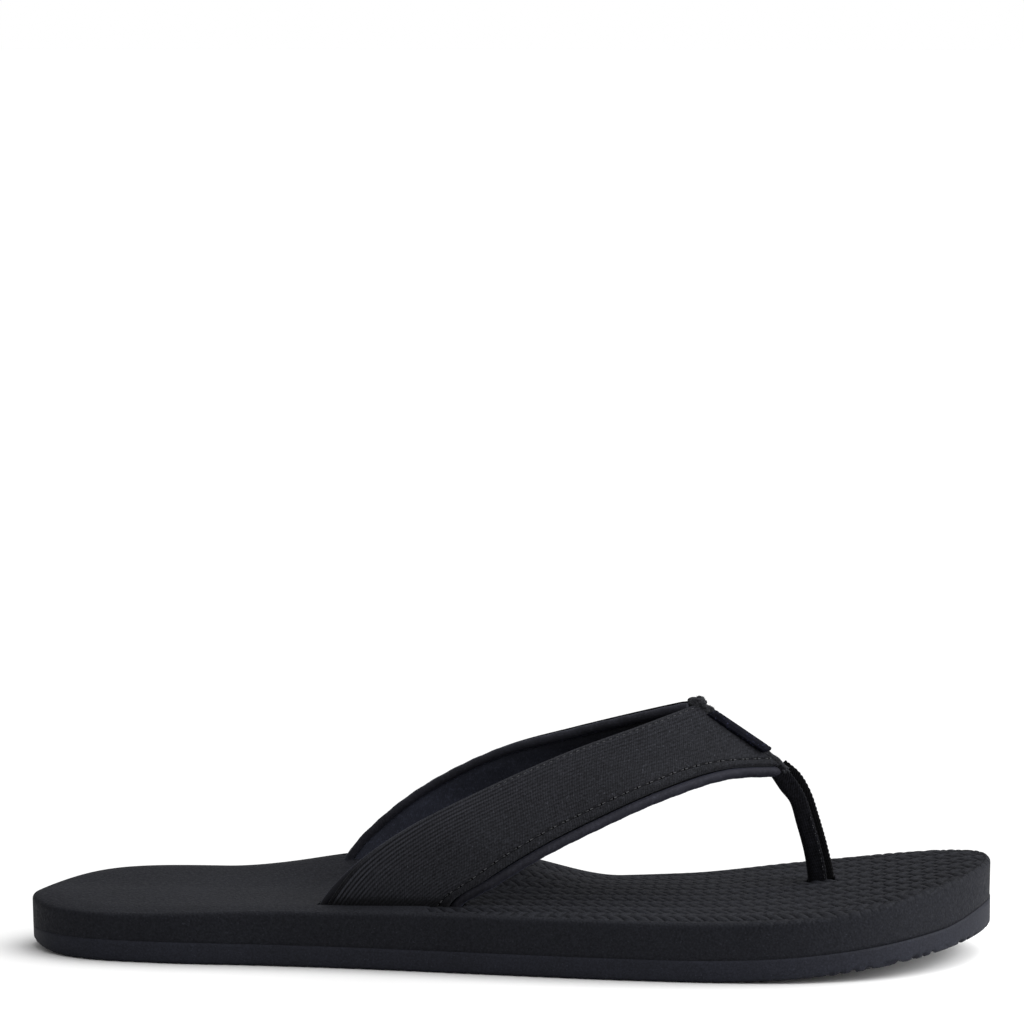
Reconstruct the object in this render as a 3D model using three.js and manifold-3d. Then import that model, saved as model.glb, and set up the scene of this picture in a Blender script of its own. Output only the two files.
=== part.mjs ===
// A right-foot flip flop: a two-layer foam and rubber sole with a padded fabric thong strap.
// Units are millimetres. +X runs to the toe, +Y to the inner (big-toe) side and +Z up, with the
// origin on the ground under the middle of the sole's bounding box.
import * as THREE from "three";
import { mergeVertices } from "three/addons/utils/BufferGeometryUtils.js";
import Module from "manifold-3d";

const wasm = await Module();
wasm.setup();

// ---- Sole sizes ----
const LENGTH = 285; // heel back to toe tip
const WIDTH = 97; // across the ball of the foot
const OUTSOLE_THICKNESS = 6.2;
const FOOTBED_THICKNESS = 12; // at the middle of the forefoot
const BOND_GAP = 0.3; // adhesive line between the two layers
const TOE_SPRING_START = 52; // where the sole starts to lift towards the toe
const TOE_SPRING_RADIUS = 480;
const HEEL_BEVEL_LENGTH = 15;
const HEEL_BEVEL_RISE = 2;
const TOP_EDGE_RADIUS = 2.2;
const BOTTOM_EDGE_RADIUS = 1.8;
const EDGE_ROLL_DEPTH = 1.2; // how far the top surface falls towards its rim
const EDGE_ROLL_WIDTH = 9;
const HEEL_DISH = 1.2;
const HEEL_BACK_DROP = 0.8;
const HEEL_CUP_RISE = 2.7; // inner rim of the heel cup
const ARCH_RISE = 5.5; // arch support, above the heel cup's inner rim
const OUTER_RIM_RISE = 1.9;
const INNER_DIP = 1.2; // fall of the inner rim between the arch and the ball
const TOE_THICKENING_INNER = 2.6;
const TOE_THICKENING_OUTER = 2.4;
const GROOVE_PITCH = 15;
const GROOVE_WIDTH = 2.6;
const GROOVE_DEPTH = 1.4;
const GROOVE_WAVE = 7; // how far each groove zigzags along the sole
const GROOVE_WAVE_LENGTH = 34;

// ---- Strap sizes ----
const STRAP_RISE = 55.7; // crest of the strap above the deck of the sole
const FACE_THICKNESS = 0.9;
const FOAM_THICKNESS = 1.2;
const TAPE_THICKNESS = 0.7;
const LINING_THICKNESS = 0.8;
const LAYER_GAP = 0.2;
const BINDING_RADIUS = 1.45;
const STITCH_INSET = 2.6; // thread line, in from the fabric's edge
const THREAD_RADIUS = 0.34;
const STRAP_CROWN = 1.4; // how far the strap bulges between its edges
const TAPE_INSET = 4.5; // reinforcing tape, in from the fabric's edge
const TAPE_TAIL = 14; // tape folded flat under the footbed
const SLOT_CLEARANCE = 0.4;
const SEAM_GAP = 1.5; // space between the two limbs for the seam and the webbing
const SEAM_THICKNESS = 0.8;
const SEAM_RAISE = 0.8; // seam allowance standing above the limbs' faces
const SEAM_KNOB_RADIUS = 2.1;
const FIT_GAP = 0.3;

// ---- Toe post sizes ----
const POST_DEPTH = 7.6; // along the foot
const POST_WIDTH = 4.6; // between the toes
const TONGUE_THICKNESS = 0.8; // webbing pressed flat inside the seam
const DISC_RADIUS = 11;
const DISC_THICKNESS = 2.2;
const FOOT_THICKNESS = 1.4; // webbing ends folded out under the disc
const FOOT_SPAN = 15;
const RECESS_DEPTH = 5.6;

// ---- Label sizes ----
const LABEL_LENGTH = 21;
const LABEL_THICKNESS = 1.1;
const LABEL_RAISE = 1.3; // over the faces, clear of the stitching
const LABEL_OUTER_FLAP = 2.3;
const LABEL_INNER_FLAP = 9;
const LABEL_START = 3.4; // from the rear end of the crest

// ---- Mesh fineness ----
const STATIONS = 40; // along the sole
const LIMB_STEPS = 20; // along each strap limb
const LIMB_COLUMNS = 4; // across each strap limb
const TUBE_STEPS = 24; // along each binding and thread
const TUBE_SIDES = 8;
const THREAD_SIDES = 5;

const DECK = OUTSOLE_THICKNESS + FOOTBED_THICKNESS;

// Outline of the sole, as shares of LENGTH from the middle and of WIDTH from the middle:
// heel, along the outer side to the toe, and back along the inner side.
const OUTLINE = [
  [-0.4998, 0.026], [-0.4825, -0.134], [-0.435, -0.247], [-0.351, -0.304], [-0.246, -0.323],
  [-0.14, -0.357], [0, -0.423], [0.123, -0.477], [0.228, -0.5], [0.316, -0.485],
  [0.393, -0.402], [0.4525, -0.253], [0.4875, -0.082], [0.5, 0.093], [0.4895, 0.247],
  [0.449, 0.381], [0.379, 0.469], [0.281, 0.5], [0.1825, 0.479], [0.077, 0.412],
  [-0.053, 0.351], [-0.175, 0.335], [-0.298, 0.356], [-0.393, 0.34], [-0.46, 0.227],
];

// Strap edges, from inside the slot to just past the crest. Each row is a share of LENGTH, a share of
// WIDTH and a height above the deck as a share of STRAP_RISE.
const OUTER_REAR = [
  [-0.2035, -0.247, -0.165], [-0.186, -0.2525, 0.011], [-0.156, -0.2495, 0.187], [-0.098, -0.227, 0.402],
  [-0.021, -0.162, 0.597], [0.063, -0.077, 0.776], [0.137, 0.008, 0.901], [0.1965, 0.113, 1],
  [0.216, 0.16, 1.03],
];
const OUTER_FRONT = [
  [-0.053, -0.294, -0.165], [-0.039, -0.298, 0.013], [-0.002, -0.2885, 0.131], [0.0455, -0.2525, 0.271],
  [0.1105, -0.1805, 0.426], [0.1755, -0.0925, 0.557], [0.2385, 0.015, 0.637], [0.2945, 0.113, 0.627],
  [0.312, 0.157, 0.618],
];
const INNER_REAR = [
  [-0.2, 0.2475, -0.165], [-0.181, 0.265, 0.077], [-0.151, 0.287, 0.262], [-0.095, 0.299, 0.491],
  [-0.0175, 0.285, 0.687], [0.063, 0.24, 0.807], [0.137, 0.182, 0.915], [0.1965, 0.113, 1],
  [0.216, 0.073, 1.03],
];
const INNER_FRONT = [
  [-0.049, 0.258, -0.165], [-0.028, 0.2735, 0.077], [0.007, 0.294, 0.221], [0.0525, 0.299, 0.355],
  [0.112, 0.275, 0.489], [0.1755, 0.238, 0.585], [0.2385, 0.18, 0.64], [0.2945, 0.113, 0.627],
  [0.312, 0.076, 0.618],
];

const smooth = (a, b, x) => THREE.MathUtils.smoothstep(x, a, b);
const scaled = (share) => share * LENGTH;

// 0 outside the span from start to end, 1 between full and fall; all are shares of LENGTH.
const hump = (x, start, full, fall, end) =>
  smooth(scaled(start), scaled(full), x) * (1 - smooth(scaled(fall), scaled(end), x));

// ---- Solids ----

// A BufferGeometry as a manifold-3d solid.
function solidOf(geometry) {
  const bare = geometry.clone();
  bare.deleteAttribute("normal");
  bare.deleteAttribute("uv");
  const merged = mergeVertices(bare, 1e-4);
  return new wasm.Manifold(new wasm.Mesh({
    numProp: 3,
    vertProperties: merged.attributes.position.array,
    triVerts: new Uint32Array(merged.index.array),
  }));
}

// A manifold-3d solid as a BufferGeometry.
function geometryOf(solid) {
  const mesh = solid.getMesh();
  const positions = new Float32Array(mesh.numVert * 3);
  for (let i = 0; i < mesh.numVert; i++)
    positions.set(mesh.vertProperties.subarray(i * mesh.numProp, i * mesh.numProp + 3), i * 3);
  const geometry = new THREE.BufferGeometry();
  geometry.setAttribute("position", new THREE.BufferAttribute(positions, 3));
  geometry.setIndex(new THREE.BufferAttribute(new Uint32Array(mesh.triVerts), 1));
  geometry.computeVertexNormals();
  return geometry;
}

// A closed geometry from triangles of points; triangles with a repeated corner are left out.
function closedGeometry(triangles) {
  const ids = new Map();
  const positions = [];
  const index = [];
  const idOf = (p) => {
    const key = p.map((c) => c.toFixed(4)).join();
    if (!ids.has(key)) {
      ids.set(key, positions.length / 3);
      positions.push(...p);
    }
    return ids.get(key);
  };
  for (const triangle of triangles) {
    const [a, b, c] = triangle.map(idOf);
    if (a !== b && b !== c && c !== a) index.push(a, b, c);
  }
  const geometry = new THREE.BufferGeometry();
  geometry.setAttribute("position", new THREE.Float32BufferAttribute(positions, 3));
  geometry.setIndex(index);
  return geometry;
}

// Two triangles for a four-sided face whose corners run anticlockwise seen from outside.
const quad = (a, b, c, d) => [[a, b, c], [a, c, d]];

// A closed slab between two grids of points: outer[i][j] faces out and inner[i][j] faces in.
function slab(outer, inner) {
  const triangles = [];
  const rows = outer.length - 1;
  const columns = outer[0].length - 1;
  for (let i = 0; i < rows; i++) {
    for (let j = 0; j < columns; j++) {
      triangles.push(...quad(outer[i][j], outer[i + 1][j], outer[i + 1][j + 1], outer[i][j + 1]));
      triangles.push(...quad(inner[i][j], inner[i][j + 1], inner[i + 1][j + 1], inner[i + 1][j]));
    }
    triangles.push(...quad(outer[i][0], inner[i][0], inner[i + 1][0], outer[i + 1][0]));
    const [top, bottom] = [outer, inner].map((grid) => [grid[i][columns], grid[i + 1][columns]]);
    triangles.push(...quad(top[1], bottom[1], bottom[0], top[0]));
  }
  for (let j = 0; j < columns; j++) {
    triangles.push(...quad(outer[0][j], outer[0][j + 1], inner[0][j + 1], inner[0][j]));
    triangles.push(...quad(outer[rows][j + 1], outer[rows][j], inner[rows][j], inner[rows][j + 1]));
  }
  const solid = solidOf(closedGeometry(triangles));
  return solid.volume() > 0 ? solid : solidOf(closedGeometry(triangles.map(([a, b, c]) => [a, c, b])));
}

// A box solid between two corners.
function box(low, high) {
  const size = high.map((h, k) => h - low[k]);
  const geometry = new THREE.BoxGeometry(...size);
  geometry.translate(...low.map((l, k) => l + size[k] / 2));
  return solidOf(geometry);
}

// A round tube along a curve.
function tube(curve, radius, sides, steps) {
  const section = new THREE.Shape();
  for (let i = 0; i < sides; i++) {
    const angle = (2 * Math.PI * i) / sides;
    section[i ? "lineTo" : "moveTo"](radius * Math.cos(angle), radius * Math.sin(angle));
  }
  section.closePath();
  return solidOf(new THREE.ExtrudeGeometry(section, { steps, extrudePath: curve, bevelEnabled: false }));
}

// ---- Sole shape ----

const outlineKnots = OUTLINE.map(([along, across]) => new THREE.Vector3(along * LENGTH, across * WIDTH, 0));
const outlineCurve = new THREE.CatmullRomCurve3(outlineKnots, true, "centripetal");
const outlinePoints = outlineCurve.getPoints(900);
const heelTip = outlinePoints.reduce((a, b) => (b.x < a.x ? b : a));
const toeTip = outlinePoints.reduce((a, b) => (b.x > a.x ? b : a));

// The outline's y at a given x, on the outer (-1) or inner (+1) side.
function edgeY(x, side) {
  const line = THREE.MathUtils.mapLinear(x, heelTip.x, toeTip.x, heelTip.y, toeTip.y);
  let found = line;
  for (let i = 0; i < outlinePoints.length - 1; i++) {
    const [a, b] = [outlinePoints[i], outlinePoints[i + 1]];
    if ((a.x - x) * (b.x - x) > 0 || a.x === b.x) continue;
    const y = THREE.MathUtils.mapLinear(x, a.x, b.x, a.y, b.y);
    if ((y - found) * side > 0) found = y;
  }
  return found;
}

const toeSpring = (x) => Math.max(0, x - TOE_SPRING_START) ** 2 / (2 * TOE_SPRING_RADIUS);
const heelBevel = (x) =>
  HEEL_BEVEL_RISE * Math.max(0, (heelTip.x + HEEL_BEVEL_LENGTH - x) / HEEL_BEVEL_LENGTH) ** 2;
const groundLine = (x) => toeSpring(x) + heelBevel(x);
const bondLine = (x) => toeSpring(x) + OUTSOLE_THICKNESS;

// Height of the footbed's top at a point that lies inset millimetres in from the rim.
function deckHeight(x, y, inset) {
  const within = THREE.MathUtils.clamp(x, scaled(-0.39), scaled(0.39));
  const low = edgeY(within, -1);
  const high = edgeY(within, 1);
  const side = (2 * y - low - high) / (high - low);
  const lean = smooth(0, 1, Math.abs(side));
  const archShare = hump(x, -0.31, -0.125, -0.0175, 0.1125);
  const cupShare = 1 - smooth(scaled(-0.21), scaled(0.07), x);
  const rimShare = hump(x, -0.42, -0.2175, -0.2035, -0.119);
  const dipShare = hump(x, -0.02, 0.11, 0.17, 0.3);
  const innerRise = HEEL_CUP_RISE * cupShare + ARCH_RISE * archShare - INNER_DIP * dipShare;
  const dish = HEEL_DISH * (1 - smooth(scaled(-0.245), scaled(-0.07), x));
  const backDrop = HEEL_BACK_DROP * (1 - smooth(scaled(-0.5), scaled(-0.415), x));
  const toe = THREE.MathUtils.lerp(
    TOE_THICKENING_OUTER * smooth(scaled(0.32), scaled(0.5), x),
    TOE_THICKENING_INNER * smooth(scaled(0.13), scaled(0.46), x),
    THREE.MathUtils.clamp((side + 1) / 2, 0, 1));
  const roll = EDGE_ROLL_DEPTH * Math.max(0, 1 - inset / EDGE_ROLL_WIDTH) ** 2;
  const rise = side > 0 ? innerRise : OUTER_RIM_RISE * rimShare;
  return DECK + toeSpring(x) + lean * rise + toe - dish - backDrop - roll;
}

// Rim points: stations closer together at the rounded ends, outer side from heel to toe, then back.
const stationX = (k) =>
  THREE.MathUtils.mapLinear(Math.cos((Math.PI * k) / STATIONS), 1, -1, heelTip.x, toeTip.x);
const rim = [];
rim.push([heelTip.x, heelTip.y]);
for (let k = 1; k < STATIONS; k++) rim.push([stationX(k), edgeY(stationX(k), -1)]);
rim.push([toeTip.x, toeTip.y]);
for (let k = STATIONS - 1; k > 0; k--) rim.push([stationX(k), edgeY(stationX(k), 1)]);

// Unit direction into the sole at each rim point.
const inward = rim.map((_, i) => {
  const before = rim[(i + rim.length - 1) % rim.length];
  const after = rim[(i + 1) % rim.length];
  const run = new THREE.Vector2(after[0] - before[0], after[1] - before[1]).normalize();
  return [-run.y, run.x];
});

// The point on the sole's middle line that the rim point i closes in on.
const spineEnd = LENGTH / 2 - WIDTH * 0.36;
function spinePoint(i) {
  const x = THREE.MathUtils.clamp(rim[i][0], -spineEnd, spineEnd);
  return [x, (edgeY(x, -1) + edgeY(x, 1)) / 2];
}

// Bands of triangles between neighbouring closed rings, the first ring below or outside the next.
function bands(rings) {
  const triangles = [];
  for (let r = 0; r + 1 < rings.length; r++)
    for (let i = 0; i < rim.length; i++) {
      const n = (i + 1) % rim.length;
      triangles.push(...quad(rings[r][i], rings[r][n], rings[r + 1][n], rings[r + 1][i]));
    }
  return triangles;
}

// Cross strips that close a ring whose height depends on x alone.
function strips(ring, facesUp) {
  const triangles = [];
  for (let k = 0; k < STATIONS; k++) {
    const [a, b] = [ring[k], ring[k + 1]];
    const [d, c] = [ring[(rim.length - k) % rim.length], ring[rim.length - k - 1]];
    triangles.push(...(facesUp ? quad(a, b, c, d) : quad(a, d, c, b)));
  }
  return triangles;
}

const rimRing = (inset, height) =>
  rim.map(([x, y], i) => [x + inward[i][0] * inset, y + inward[i][1] * inset, height(x, y, i)]);

function footbedBlank() {
  const rings = [rimRing(0, (x) => bondLine(x) + BOND_GAP)];
  for (const angle of [0, Math.PI / 4, Math.PI / 2]) {
    const inset = TOP_EDGE_RADIUS * (1 - Math.cos(angle));
    const drop = TOP_EDGE_RADIUS * (1 - Math.sin(angle));
    rings.push(rimRing(inset, (x, y) => deckHeight(x, y, TOP_EDGE_RADIUS) - drop));
  }
  for (const share of [0.12, 0.3, 0.52, 0.76, 1])
    rings.push(rim.map(([x, y], i) => {
      const start = [x + inward[i][0] * TOP_EDGE_RADIUS, y + inward[i][1] * TOP_EDGE_RADIUS];
      const [sx, sy] = spinePoint(i);
      const point = [start[0] + (sx - start[0]) * share, start[1] + (sy - start[1]) * share];
      return [...point, deckHeight(...point, Math.hypot(point[0] - x, point[1] - y))];
    }));
  return solidOf(closedGeometry([...strips(rings[0], false), ...bands(rings)]));
}

function outsoleBlank() {
  const rings = [];
  for (const angle of [Math.PI / 2, Math.PI / 4, 0]) {
    const inset = BOTTOM_EDGE_RADIUS * (1 - Math.cos(angle));
    const lift = BOTTOM_EDGE_RADIUS * (1 - Math.sin(angle));
    rings.push(rimRing(inset, (x) => groundLine(x) + lift));
  }
  rings.push(rimRing(0, bondLine));
  const caps = [...strips(rings[0], false), ...strips(rings.at(-1), true)];
  return solidOf(closedGeometry([...caps, ...bands(rings)]));
}

// One zigzag groove across the sole at x, cut up into the tread.
function treadGroove(x) {
  const half = WIDTH / 2 + GROOVE_WAVE_LENGTH / 2;
  const folds = Math.ceil((2 * half) / (GROOVE_WAVE_LENGTH / 2));
  const front = [];
  const rear = [];
  for (let i = 0; i <= folds; i++) {
    const y = -half + (i * GROOVE_WAVE_LENGTH) / 2;
    const shift = i % 2 ? GROOVE_WAVE / 2 : -GROOVE_WAVE / 2;
    front.push(new THREE.Vector2(x + shift + GROOVE_WIDTH / 2, y));
    rear.unshift(new THREE.Vector2(x + shift - GROOVE_WIDTH / 2, y));
  }
  const height = groundLine(x) + GROOVE_DEPTH + 1;
  const zigzag = new THREE.Shape([...front, ...rear]);
  const geometry = new THREE.ExtrudeGeometry(zigzag, { depth: height, bevelEnabled: false });
  geometry.translate(0, 0, -1);
  return solidOf(geometry);
}

// ---- Strap shape ----

function edgeCurve(rows) {
  const place = ([along, across, up]) =>
    new THREE.Vector3(along * LENGTH, across * WIDTH, DECK + up * STRAP_RISE);
  return new THREE.CatmullRomCurve3(rows.map(place), false, "centripetal");
}
const CREST_INDEX = 7; // row of the edge tables that lies on the crest
const LIMBS = {
  lateral: { rear: edgeCurve(OUTER_REAR), front: edgeCurve(OUTER_FRONT), side: -1 },
  medial: { rear: edgeCurve(INNER_REAR), front: edgeCurve(INNER_FRONT), side: 1 },
};
const CREST_T = CREST_INDEX / (OUTER_REAR.length - 1);
const CREST_Y = OUTER_REAR[CREST_INDEX][1] * WIDTH;
const STACK = FACE_THICKNESS + FOAM_THICKNESS + TAPE_THICKNESS + LINING_THICKNESS + 3 * LAYER_GAP;
const EDGE_BAND = 2 * BINDING_RADIUS + FIT_GAP; // width taken by the binding at each edge

// A point of a limb: t along it, w across it from the rear edge to the front edge, depth in from its face.
function limbPoint(limb, t, w, depth) {
  const at = (s, v) => limb.rear.getPoint(s).lerp(limb.front.getPoint(s), v);
  const step = 0.01;
  const along = at(Math.min(1, t + step), w).sub(at(Math.max(0, t - step), w));
  const across = at(t, w + step).sub(at(t, w - step));
  const outward = across.cross(along).normalize().multiplyScalar(-limb.side);
  const crown = STRAP_CROWN * 4 * w * (1 - w) * (1 - smooth(CREST_T - 0.35, CREST_T - 0.05, t));
  return at(t, w).addScaledVector(outward, crown - depth);
}

// The share of w that lies a given distance in from an edge, measured square to that edge.
function edgeShare(limb, t, inset, edge) {
  const across = limb.front.getPoint(t).sub(limb.rear.getPoint(t));
  const along = edge.getTangent(t);
  return inset / across.cross(along).length();
}

// Ends of a row across a limb whose edges are inset from the strap's own edges.
const rowEnds = (limb, t, inset) =>
  [edgeShare(limb, t, inset, limb.rear), 1 - edgeShare(limb, t, inset, limb.front)];

// A layer of a limb between two depths, its long edges inset from the strap's own edges.
function limbLayer(limb, topDepth, bottomDepth, inset, { to = 1 } = {}) {
  const grid = (depth) => {
    const rows = [];
    for (let i = 0; i <= LIMB_STEPS; i++) {
      const t = (to * i) / LIMB_STEPS;
      const [start, end] = rowEnds(limb, t, inset);
      const row = [];
      for (let j = 0; j <= LIMB_COLUMNS; j++)
        row.push(limbPoint(limb, t, start + ((end - start) * j) / LIMB_COLUMNS, depth).toArray());
      rows.push(row);
    }
    return rows;
  };
  return slab(grid(topDepth), grid(bottomDepth));
}

// A tube that follows a limb at a distance in from its rear (0) or front (1) edge.
function limbTube(limb, atFront, { inset, depth, radius, sides, from }) {
  const points = [];
  for (let i = 0; i <= LIMB_STEPS; i++) {
    const t = from + ((1 - from) * i) / LIMB_STEPS;
    points.push(limbPoint(limb, t, rowEnds(limb, t, inset)[atFront ? 1 : 0], depth));
  }
  return tube(new THREE.CatmullRomCurve3(points, false, "centripetal"), radius, sides, TUBE_STEPS);
}

// The first t at which a limb's stitch line stands clear of the footbed.
function clearOfDeck(limb, atFront, inset) {
  for (let t = 0; t < 0.5; t += 0.005) {
    const p = limbPoint(limb, t, rowEnds(limb, t, inset)[atFront ? 1 : 0], 0);
    if (p.z > deckHeight(p.x, p.y, WIDTH / 2) + 4 * THREAD_RADIUS) return t;
  }
  throw new Error("a strap limb never leaves its slot");
}

const crestRear = LIMBS.lateral.rear.getPoint(CREST_T);
const crestFront = LIMBS.lateral.front.getPoint(CREST_T);
const crestRun = crestFront.clone().sub(crestRear).normalize();
const crestUp = new THREE.Vector3(0, -1, 0).cross(crestRun).normalize();
const knobCentre = crestRear.clone().addScaledVector(crestRun, 0.6);

function ball(centre, radius) {
  const geometry = new THREE.SphereGeometry(radius, 12, 8);
  geometry.translate(...centre.toArray());
  return solidOf(geometry);
}

// What is cut away from a limb's pieces so that both limbs stop at the seam.
const FAR = 2 * LENGTH;
function seamCutter(limb) {
  const start = CREST_Y + (limb.side * SEAM_GAP) / 2;
  const outer = () => box([-FAR, start, -FAR], [FAR, FAR, FAR]);
  const inner = () => box([-FAR, -FAR, -FAR], [FAR, start, FAR]);
  const beyond = limb.side < 0 ? outer() : inner();
  return beyond.add(ball(knobCentre, SEAM_KNOB_RADIUS + FIT_GAP));
}

// The tape's tail: it leaves the slot's foot and lies flat under the footbed, towards the middle.
const TAIL_Z = bondLine(0) + BOND_GAP + FIT_GAP;
const TAPE_TOP = FACE_THICKNESS + FOAM_THICKNESS + 2 * LAYER_GAP;
function tapeTail(limb, grow) {
  const [start, end] = rowEnds(limb, 0, EDGE_BAND + TAPE_INSET);
  const rear = limbPoint(limb, 0, start, TAPE_TOP);
  const front = limbPoint(limb, 0, end, TAPE_TOP);
  const inside = limbPoint(limb, 0, 0.5, TAPE_TOP + TAPE_THICKNESS);
  const fold = limb.side < 0 ? Math.min(rear.y, front.y) : Math.max(rear.y, front.y);
  const tip = inside.y - limb.side * TAPE_TAIL;
  const low = [rear.x - grow, Math.min(fold, tip) - grow, TAIL_Z - grow];
  const high = [front.x + grow, Math.max(fold, tip) + grow, TAIL_Z + TAPE_THICKNESS + grow];
  return box(low, high);
}

// The upright length of tape between its tail and the foot of the strap's stack.
function tapeDrop(limb) {
  const [start, end] = rowEnds(limb, 0, EDGE_BAND + TAPE_INSET);
  const join = 0.006; // a little way up the limb, so that the two lengths meet
  const grid = (depth) => {
    const top = [];
    for (let j = 0; j <= LIMB_COLUMNS; j++)
      top.push(limbPoint(limb, join, start + ((end - start) * j) / LIMB_COLUMNS, depth).toArray());
    return [top.map(([x, y]) => [x, y, TAIL_Z]), top];
  };
  return slab(grid(TAPE_TOP + LAYER_GAP / 2), grid(TAPE_TOP + TAPE_THICKNESS));
}

function strapSlot(limb) {
  const cut = (to) => limbLayer(limb, -SLOT_CLEARANCE, STACK + SLOT_CLEARANCE, -SLOT_CLEARANCE, { to });
  const slice = cut(0.01).boundingBox();
  const foot = box([slice.min[0], slice.min[1], 0], slice.max);
  return cut(0.3).add(foot).add(tapeTail(limb, SLOT_CLEARANCE));
}

function limbPieces(name, limb) {
  const cutter = seamCutter(limb);
  const trimmed = (solid) => solid.subtract(cutter);
  const faceBottom = FACE_THICKNESS;
  const foamTop = faceBottom + LAYER_GAP;
  const tapeBottom = TAPE_TOP + TAPE_THICKNESS;
  const liningTop = tapeBottom + LAYER_GAP;
  const tape = limbLayer(limb, TAPE_TOP, tapeBottom, EDGE_BAND + TAPE_INSET)
    .add(tapeDrop(limb)).add(tapeTail(limb, 0));
  const stitch = (atFront) => {
    const inset = EDGE_BAND + STITCH_INSET;
    const from = clearOfDeck(limb, atFront, inset);
    const depth = -THREAD_RADIUS - LAYER_GAP;
    return limbTube(limb, atFront, { inset, depth, radius: THREAD_RADIUS, sides: THREAD_SIDES, from });
  };
  const binding = (atFront) => {
    const radius = BINDING_RADIUS;
    return limbTube(limb, atFront, { inset: radius, depth: STACK / 2, radius, sides: TUBE_SIDES, from: 0 });
  };
  return [
    [`strap_face_${name}`, trimmed(limbLayer(limb, 0, faceBottom, EDGE_BAND)), fabric],
    [`strap_foam_${name}`, trimmed(limbLayer(limb, foamTop, TAPE_TOP - LAYER_GAP, EDGE_BAND)), padding],
    [`strap_tape_${name}`, trimmed(tape), webbing],
    [`strap_lining_${name}`, trimmed(limbLayer(limb, liningTop, STACK, EDGE_BAND)), lining],
    [`rear_binding_${name}`, trimmed(binding(false)), lining],
    [`front_binding_${name}`, trimmed(binding(true)), lining],
    [`rear_stitching_${name}`, trimmed(stitch(false)), thread],
    [`front_stitching_${name}`, trimmed(stitch(true)), thread],
  ];
}

// ---- Toe post, seam and label ----

const POST_X = crestFront.x + 8.4;
const POST_TOP = bondLine(POST_X) + BOND_GAP + RECESS_DEPTH; // ceiling of the anchor's recess
const DISC_TOP = POST_TOP - FIT_GAP;
const FOOT_TOP = DISC_TOP - DISC_THICKNESS - FIT_GAP;

// Middle line of the webbing, from its folded foot up into the seam. Each row is x, z, width and depth.
const deckAtPost = deckHeight(POST_X, CREST_Y, WIDTH / 2);
const postRise = crestFront.z - deckAtPost;
const POST_ROWS = [
  [POST_X, FOOT_TOP - FOOT_THICKNESS, POST_WIDTH, POST_DEPTH],
  [POST_X, deckAtPost, POST_WIDTH, POST_DEPTH],
  [POST_X - 1, deckAtPost + postRise * 0.26, POST_WIDTH, POST_DEPTH * 0.96],
  [POST_X - 3.6, deckAtPost + postRise * 0.54, POST_WIDTH, POST_DEPTH * 0.86],
  [POST_X - 6.6, deckAtPost + postRise * 0.76, POST_WIDTH * 0.8, POST_DEPTH * 0.74],
  [POST_X - 8.6, deckAtPost + postRise * 0.86, TONGUE_THICKNESS, POST_DEPTH * 0.66],
  [POST_X - 12, deckAtPost + postRise * 1.02, TONGUE_THICKNESS, POST_DEPTH * 0.6],
];

// A loft of eight-sided sections along the post, grown by a clearance.
function postLoft(rows, grow) {
  const rings = rows.map(([x, z, width, depth], i) => {
    const [xa, za] = rows[Math.max(0, i - 1)];
    const [xb, zb] = rows[Math.min(rows.length - 1, i + 1)];
    const tilt = Math.atan2(xb - xa, zb - za);
    const [hw, hd] = [width / 2 + grow, depth / 2 + grow];
    const chamfer = Math.min(hw, hd) * 0.4;
    const corners = [
      [-hd, -hw + chamfer], [-hd + chamfer, -hw], [hd - chamfer, -hw], [hd, -hw + chamfer],
      [hd, hw - chamfer], [hd - chamfer, hw], [-hd + chamfer, hw], [-hd, hw - chamfer],
    ];
    return corners.map(([d, w]) => [x + d * Math.cos(tilt), CREST_Y + w, z - d * Math.sin(tilt)]);
  });
  const triangles = [];
  for (let r = 0; r + 1 < rings.length; r++)
    for (let i = 0; i < 8; i++) {
      const n = (i + 1) % 8;
      triangles.push(...quad(rings[r][i], rings[r][n], rings[r + 1][n], rings[r + 1][i]));
    }
  const last = rings.at(-1);
  const first = rings[0];
  for (let i = 1; i < 7; i++) {
    triangles.push([last[0], last[i], last[i + 1]]);
    triangles.push([first[0], first[i + 1], first[i]]);
  }
  return solidOf(closedGeometry(triangles));
}

function toeWebbing() {
  const foot = box(
    [POST_X - POST_DEPTH / 2, CREST_Y - FOOT_SPAN / 2, FOOT_TOP - FOOT_THICKNESS],
    [POST_X + POST_DEPTH / 2, CREST_Y + FOOT_SPAN / 2, FOOT_TOP]);
  return postLoft(POST_ROWS, 0).add(foot);
}

function postSlot() {
  const section = [POST_WIDTH, POST_DEPTH];
  return postLoft([[POST_X, 0, ...section], [POST_X, 2 * DECK, ...section]], SLOT_CLEARANCE);
}

// A cylinder under the footbed at the toe post, standing on z and centred on the post.
function postCylinder(radius, low, high) {
  const geometry = new THREE.CylinderGeometry(radius, radius, high - low, 36);
  geometry.rotateX(Math.PI / 2);
  geometry.translate(POST_X, CREST_Y, (low + high) / 2);
  return solidOf(geometry);
}

const anchorDisc = () =>
  postCylinder(DISC_RADIUS, DISC_TOP - DISC_THICKNESS, DISC_TOP).subtract(postSlot());

// A row of stitching up the outer face of the webbing, near its front edge.
function postStitching() {
  const points = POST_ROWS.slice(1, 5).map(([x, z, width, depth]) => {
    const y = CREST_Y - width / 2 - LAYER_GAP - THREAD_RADIUS;
    return new THREE.Vector3(x + depth / 4, y, z + 4 * THREAD_RADIUS);
  });
  return tube(new THREE.CatmullRomCurve3(points), THREAD_RADIUS, THREAD_SIDES, TUBE_STEPS);
}

// A point on the crest: w along it from rear to front, raised above the limbs' faces.
function crestPoint(w, raise) {
  return crestRear.clone().lerp(crestFront, w).addScaledVector(crestUp, raise);
}

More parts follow.
